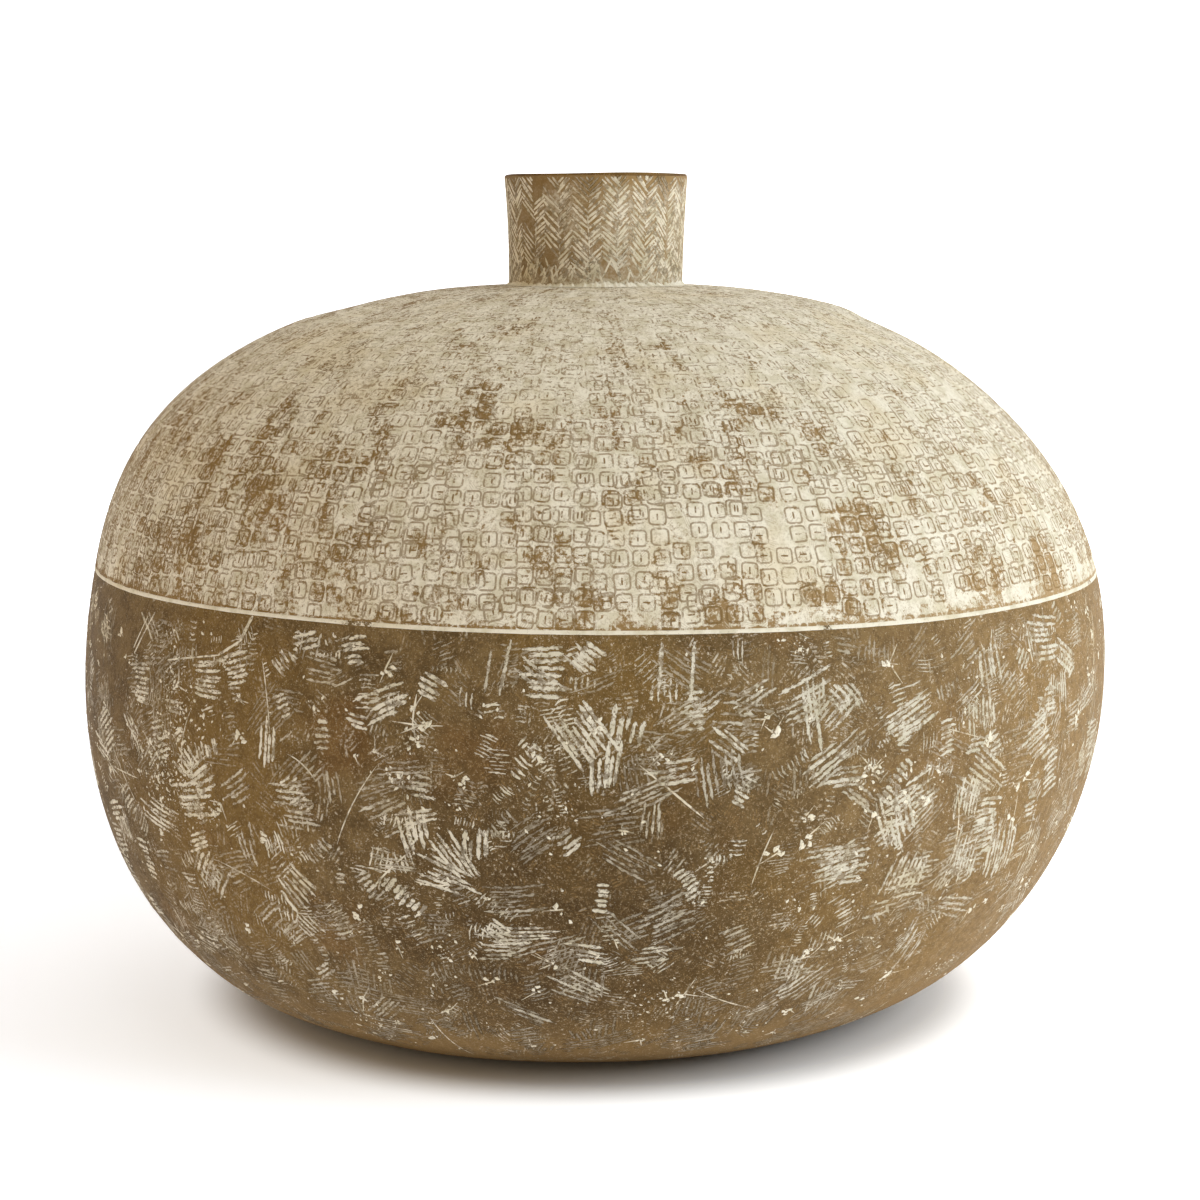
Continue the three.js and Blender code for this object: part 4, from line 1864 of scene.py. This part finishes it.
def comb_patch(rolls, turn, station, strokes, step, length, width):
    """The parallel strokes of one patch, fainter towards the foot."""
    radius = radius_at(station)
    angle = stroke_angle(rolls)
    step = rolls.uniform(*step) * MM
    reach = (length[0] + (length[1] - length[0]) * rolls.random() ** 1.5) * MM
    count = rolls.integers(*strokes)
    fan = rolls.normal(0, 0.02)
    bend = rolls.normal(0, 0.3) * MM
    tone = 0.06 + rolls.random() + 0.66 * float(soft(1 - (station - COMB_LOW) / LOW_FADE))
    marks = []
    for index in range(count):
        offset = (index - (count - 1) / 2) * step + rolls.normal(0, 0.1) * step
        slid = rolls.normal(0, 0.1) * reach
        side = -offset * math.sin(angle) + slid * math.cos(angle)
        up = station + (offset * math.cos(angle) + slid * math.sin(angle))
        long = reach * rolls.uniform(0.55, 1.05)
        turned = angle + fan * (index - count / 2)
        climb = abs(math.sin(turned)) * long / 2
        if up + climb > COMB_TOP or up - climb < COMB_LOW - COMB_RUN_OUT:
            continue
        wide = step * rolls.uniform(*width)
        faint = min(1, max(0, tone + rolls.normal(0, 0.12)))
        marks.append(Mark(turn + side / radius, up, turned, long, wide, bend, faint))
    return marks


def comb_layout(seed, patches, crowd, **comb):
    """Strokes of patches all over the belly, where the slow noise is over crowd."""
    rolls = np.random.default_rng(seed)
    turns, stations = random_places(rolls, patches, COMB_LOW, COMB_TOP)
    kept = crowding(wall_points(turns, stations), seed) > crowd
    marks = []
    for turn, station in zip(turns[kept], stations[kept]):
        marks.extend(comb_patch(rolls, turn, station, **comb))
    return np.array(marks)


print("slopes of the patches:", [middle for _, middle, _ in DIRECTIONS], "degrees")

# %% [markdown]
# Three combs, each with its strokes to a patch, their step and length in
# millimetres, and their width as a share of the step. The long comb only fills
# two crowded stretches, given in degrees round the axis and to each side. The
# dry comb leaves faint scratches everywhere.

# %% Comb strokes and dry scratches
COMB_SEED = 34
WIDE_COMB = {"strokes": (3, 9), "step": (2.0, 2.7), "length": (7, 28), "width": (1.05, 1.35)}
LONG_COMB = {"strokes": (4, 9), "step": (2.0, 2.6), "length": (9, 26), "width": (1.05, 1.35)}
DRY_COMB = {"strokes": (3, 9), "step": (1.2, 2.4), "length": (2.5, 11), "width": (0.9, 1.3)}
CROWDED = ((-38, 32), (-153, 22))

strokes = comb_layout(COMB_SEED, 1120, -0.2, **WIDE_COMB)
more = comb_layout(COMB_SEED + 2, 440, -0.1, **LONG_COMB)
for middle, reach in CROWDED:
    aside = np.remainder(more[:, 0] - math.radians(middle) + math.pi, math.tau) - math.pi
    strokes = np.concatenate([strokes, more[np.abs(aside) < math.radians(reach)]])
stroke = ribbon_mark((0.7, 1, 0.95, 1, 0.95, 1, 0.7), 0.1 * MM)
lay("comb_strokes", mark_points(strokes), stroke, lower_shell, COMB_SLIP, "combed_clay")

scratches = comb_layout(COMB_SEED + 1, 1900, -0.25, **DRY_COMB)
scratch = ribbon_mark((0.6, 1, 0.6), 0.07 * MM)
lay("dry_scratches", mark_points(scratches), scratch, lower_shell, SCRATCH_SLIP, "combed_clay")
print(len(strokes), "comb strokes,", len(scratches), "scratches")

# %% [markdown]
# Splashes and drawn lines. Slip dripped from the brush and dried as low crumbs
# and drops, and a pointed tool drew long thin lines across the belly. The
# splashes sit highest of all the marks, and catch a little more light. They
# could be set by hand, but a seed and a few rules are quicker to change.

# %% Layout of splashes and drops
SPLASHES = 280
DROPS = 500
# A blob looks the same turned by half a turn, so its angles go no further.
HALF_TURN = 3.1


def splash_layout(rolls, count):
    """Blobs that run together in a splash, and the tails that leave it."""
    turns, stations = random_places(rolls, count, COMB_LOW + 4 * MM, COMB_TOP - 6 * MM)
    blobs, tails = [], []
    for turn, station in zip(turns, stations):
        radius = radius_at(station)
        size = rolls.uniform(1.0, 2.9) * MM
        for _ in range(rolls.integers(2, 6)):
            side, up = rolls.normal(0, 0.75, 2) * size
            wide = size * rolls.uniform(0.45, 1.1)
            angle = rolls.uniform(0, HALF_TURN)
            long = wide * rolls.uniform(1, 1.9)
            blobs.append(Mark(turn + side / radius, station + up, angle, long, wide))
        for _ in range(rolls.integers(0, 4)):
            angle = rolls.uniform(0, math.tau)
            long = size * rolls.uniform(1.5, 5)
            aside = turn + math.cos(angle) * long / 2 / radius
            up = station + math.sin(angle) * long / 2
            if up + long / 2 < COMB_TOP:
                wide = rolls.uniform(0.7, 1.1) * MM
                tails.append(Mark(aside, up, angle, long, wide, tone=rolls.random() * 0.4))
    return blobs, tails


def drop_layout(rolls, count):
    turns, stations = random_places(rolls, count, COMB_LOW, COMB_TOP)
    wide = rolls.uniform(0.5, 1.5, count) * MM
    long = wide * rolls.uniform(1, 1.8, count)
    return list(map(Mark, turns, stations, rolls.uniform(0, HALF_TURN, count), long, wide))


print(SPLASHES, "splashes and", DROPS, "drops")

# %% Layout of flakes
FLAKE_GROUPS = 120
# Degrees round the axis, millimetres below the belt, spread in millimetres, groups.
CRUMB_FIELD = (-139, 62, 24, 24)


def flake_places(rolls, groups):
    """Places spread over the belly, and more in one field where a thick coat broke up."""
    turns, stations = random_places(rolls, groups, COMB_LOW + 20 * MM, COMB_TOP - 4 * MM)
    degrees, below, spread, extra = CRUMB_FIELD
    aside, ups = rolls.normal(0, spread * MM, (2, extra))
    turns = np.append(turns, math.radians(degrees) + aside / BELLY_RADIUS)
    stations = np.append(stations, np.minimum(BELT_STATION - below * MM + ups, COMB_TOP - 6 * MM))
    return zip(turns, stations)


def flake_layout(rolls, groups):
    """Groups of small chips of slip, most of them tiny."""
    flakes = []
    for turn, station in flake_places(rolls, groups):
        radius = radius_at(station)
        spread = rolls.uniform(2, 10) * MM
        for _ in range(rolls.integers(5, 30)):
            side, up = rolls.normal(0, spread, 2)
            wide = (0.4 + 1.3 * rolls.random() ** 3) * MM
            if station + up + wide < COMB_TOP:
                angle = rolls.uniform(0, HALF_TURN)
                long = wide * rolls.uniform(1, 2.4)
                flakes.append(Mark(turn + side / radius, station + up, angle, long, wide))
    return flakes


print(FLAKE_GROUPS + CRUMB_FIELD[3], "groups of flakes")

# %% Splashes of slip
SPLASH_SEED = 41
SPLASH_SLIP = pale_slip("splash slip", thick=0.25, loss=0.09)
TAIL_SLIP = stroke_slip("tail slip", 1.6, 0.95, CREAM_PAINTED_SHADE)

rolls = np.random.default_rng(SPLASH_SEED)
blobs, tails = splash_layout(rolls, SPLASHES)
blobs += drop_layout(rolls, DROPS)
blobs += flake_layout(rolls, FLAKE_GROUPS)
splash = blob_mark(4, 12, 0.26 * MM)
lay("slip_splashes", mark_points(blobs), splash, lower_shell, SPLASH_SLIP, "pale_slip")
tail = ribbon_mark((0.9, 1, 0.7, 0.4), 0.14 * MM)
lay("splash_tails", mark_points(tails), tail, lower_shell, TAIL_SLIP, "pale_slip")
print(len(blobs), "blobs and drops,", len(tails), "tails")

# %% Drawn lines
DRAWN_LINES = 60
DRAWN_SEED = 47
LINE_SLIP = stroke_slip("drawn slip", 1.2, 0.95, CREAM_PAINTED_SHADE)


def drawn_lines(count):
    """Long lines of a pointed tool, slightly bowed, at every angle."""
    rolls = np.random.default_rng(DRAWN_SEED)
    turns, stations = random_places(rolls, count, COMB_LOW, COMB_TOP)
    long = rolls.uniform(14, 48, count) * MM
    wide = rolls.uniform(0.8, 1.35, count) * MM
    bend = rolls.normal(0, 1.2, count) * MM
    angle = rolls.uniform(0, math.pi, count)
    fits = stations + np.abs(np.sin(angle)) * long / 2 < COMB_TOP
    lines = np.stack([turns, stations, angle, long, wide, bend, rolls.random(count) * 0.5], -1)
    return lines[fits]


line = ribbon_mark((0.3, 0.7, 0.9, 1, 1, 0.9, 0.8, 0.9, 0.8, 0.6, 0.3), 0.12 * MM)
lines = mark_points(drawn_lines(DRAWN_LINES))
lay("drawn_lines", lines, line, lower_shell, LINE_SLIP, "pale_slip")

# %% [markdown]
# One broken line runs over the belt on the left, wide above it and thinner as it
# trails off below. Each run of it has its shift round the axis in radians, its
# lowest and highest point above the belt in millimetres, its slope in degrees,
# and its length and width in millimetres.

# %% The line that crosses the belt
CROSSING_TURN = math.radians(-126.4)
RUN_ABOVE = (0.0315, (0.2, 31), 64, 34, 2.6)
RUNS_BELOW = (
    (-0.011, (-10.8, 0), 64, 12, 2.2),
    (-0.048, (-17.9, -10.8), 30, 14.4, 1.6),
    (-0.143, (-23.7, -17.9), 10, 34, 1.2),
    (-0.304, (-24, -6), 54, 24, 1.3),
    (-0.318, (-22, -8), 57, 18, 1.0),
)


def crossing_run(aside, ups, degrees, long, wide):
    up = BELT_STATION + (ups[0] + ups[1]) / 2 * MM
    angle = math.radians(degrees)
    return Mark(CROSSING_TURN + aside, up, angle, long * MM, wide * MM, tone=0.1)


run = ribbon_mark((0.8, 1, 0.9, 1, 0.8, 1, 0.7), 0.16 * MM)
below_belt = mark_points([crossing_run(*values) for values in RUNS_BELOW])
above_belt = mark_points([crossing_run(*RUN_ABOVE)])
lay("crossing_line_low", below_belt, run, lower_shell, LINE_SLIP, "pale_slip")
lay("crossing_line_high", above_belt, run, dome_shell, LINE_SLIP, "pale_slip")

# %% [markdown]
# The herringbone of the collar is cut with the comb's corner, column by column,
# left strokes rising and right strokes falling, so that each pair makes a roof.
# At the foot the strokes go astray, where the collar was smeared to the dome.
# Booleans could carve the cuts, but hundreds of them are slow and break easily,
# so each cut is a low ribbon of the slip that fills it. A hand rubbed some spots
# bare: each is given by its degrees round the axis, its height as a share of the
# collar's and its reach in millimetres.

# %% Sizes of the cuts, and the rubbed spots
COLLAR_SEED = 53
ROOFS = 19
LEFT_SHARE = 0.42
CUT_STEP = 2.3 * MM
CUT_WIDTH = 1.75 * MM
CUT_LOW = DOME_HEIGHT + 9 * MM
CUT_HIGH = RIM_HEIGHT - 2.6 * MM
CUT_TOP = RIM_HEIGHT - 2 * MM
SHORTEST_CUT = 2 * MM
RUBBED_SPOTS = (
    (-124, 0.84, 11),
    (-142, 0.6, 5),
    (-118, 0.26, 6),
    (-106, 0.6, 3),
    (-80, 0.14, 6),
    (-55, 0.22, 6),
    (60, 0.6, 11),
)


def rubbed_bare(turn, height):
    """How deep a place lies in one of the spots where a hand rubbed the collar."""
    deepest = 0.0
    for degrees, share, reach in RUBBED_SPOTS:
        side = COLLAR_RADIUS * math.remainder(turn - math.radians(degrees), math.tau)
        up = height - DOME_HEIGHT - share * (RIM_HEIGHT - DOME_HEIGHT)
        deepest = max(deepest, 1 - math.hypot(side, up) / (reach * MM))
    return deepest


def below_lip(turn, height, angle, long):
    """The part of a stroke that lies under the wiped lip."""
    steep = abs(math.sin(angle))
    past = max(0.0, (height - CUT_TOP) / steep + long / 2)
    turn -= math.copysign(past / 2, angle) * math.cos(angle) / COLLAR_RADIUS
    return turn, height - past / 2 * steep, long - past


print("rows of cuts from", round(CUT_LOW, 4), "to", round(CUT_TOP, 4))

# %% Columns of the herringbone


def column_cuts(rolls, column):
    """The strokes of one column, all on one slope. Worn places have none."""
    roof = math.tau / ROOFS
    left = column % 2 == 0
    share = LEFT_SHARE if left else 1 - LEFT_SHARE
    half = share / 2 if left else 1 - share / 2
    middle = (column // 2 + half) * roof + rolls.normal(0, 0.012)
    tilt = math.radians(rolls.normal(44, 3)) * (1 if left else -1)
    across = share * roof * COLLAR_RADIUS
    start = CUT_LOW + rolls.uniform(-5, 2) * MM
    weak = rolls.uniform(0, 0.7)
    cuts = []
    for height in np.arange(start, CUT_TOP + across / 2, CUT_STEP * rolls.uniform(0.92, 1.1)):
        turn = middle + rolls.normal(0, 0.008)
        worn = noise.noise(Vector((math.cos(turn) * 2.2, math.sin(turn) * 2.2, height * 60)))
        worn -= 0.6 * rubbed_bare(turn, height)
        if worn < -0.4 or rolls.random() < 0.03:
            continue
        angle = tilt + rolls.normal(0, 0.06)
        long = across / math.cos(tilt) * rolls.uniform(0.95, 1.2)
        wide = CUT_WIDTH * rolls.uniform(0.85, 1.1)
        faint = weak * float(soft((height - CUT_HIGH + 9 * MM) / (8 * MM)))
        tone = min(1, max(0, 0.12 + faint - 0.9 * worn + rolls.normal(0, 0.1)))
        turn, up, long = below_lip(turn, height + rolls.normal(0, 0.2) * MM, angle, long)
        if long > SHORTEST_CUT:
            cuts.append(Mark(turn, up, angle, long, wide, tone=tone))
    return cuts


rolls = np.random.default_rng(COLLAR_SEED)
cuts = [cut for column in range(2 * ROOFS) for cut in column_cuts(rolls, column)]
print(len(cuts), "cuts in", 2 * ROOFS, "columns")

# %% Stray cuts and spines
STRAY_CUTS = 150
SPINES = 26


def stray_cuts(rolls, count):
    """Loose strokes at the foot of the collar."""
    cuts = []
    for _ in range(count):
        steep = math.radians(rolls.uniform(40, 80)) * rolls.choice((-1, 1, 1, 1))
        long = rolls.uniform(5, 13) * MM
        up = DOME_HEIGHT + MM + abs(math.sin(steep)) * long / 2 + rolls.uniform(0, 4) * MM
        wide = rolls.uniform(1.2, 1.9) * MM
        turn = rolls.random() * math.tau
        cuts.append(Mark(turn, up, steep, long, wide, tone=rolls.random() * 0.4))
    return cuts


def spine_cuts(rolls, count):
    """Thin upright lines between some of the columns."""
    cuts = []
    for _ in range(count):
        turn = rolls.integers(0, 2 * ROOFS) * math.pi / ROOFS + rolls.normal(0, 0.01)
        long = rolls.uniform(7, 22) * MM
        up = rolls.uniform(CUT_LOW + long / 2, CUT_HIGH - long / 2)
        steep = math.radians(rolls.normal(90, 3))
        wide = rolls.uniform(0.8, 1.3) * MM
        cuts.append(Mark(turn, up, steep, long, wide, tone=rolls.random() * 0.6))
    return cuts


cuts += stray_cuts(rolls, STRAY_CUTS)
cuts += spine_cuts(rolls, SPINES)
print(len(cuts), "cuts in the collar")

# %% The cuts, laid on the collar
CUT_SLIP = stroke_slip("cut slip", 1.5, 0.8, CREAM_PAINTED_SHADE)


def collar_frame(turn, height):
    ahead = collar_points(turn + TURN_STEP, height) - collar_points(turn - TURN_STEP, height)
    rising = collar_points(turn, height + 0.5 * MM) - collar_points(turn, height - 0.5 * MM)
    return frame_from(collar_points(turn, height), ahead, rising)


cut = ribbon_mark((0.7, 1, 1, 1, 0.7), 0.12 * MM)
points = mark_points(cuts, collar_frame)
lay("collar_cuts", points, cut, collar_shell, CUT_SLIP, "collar_clay")
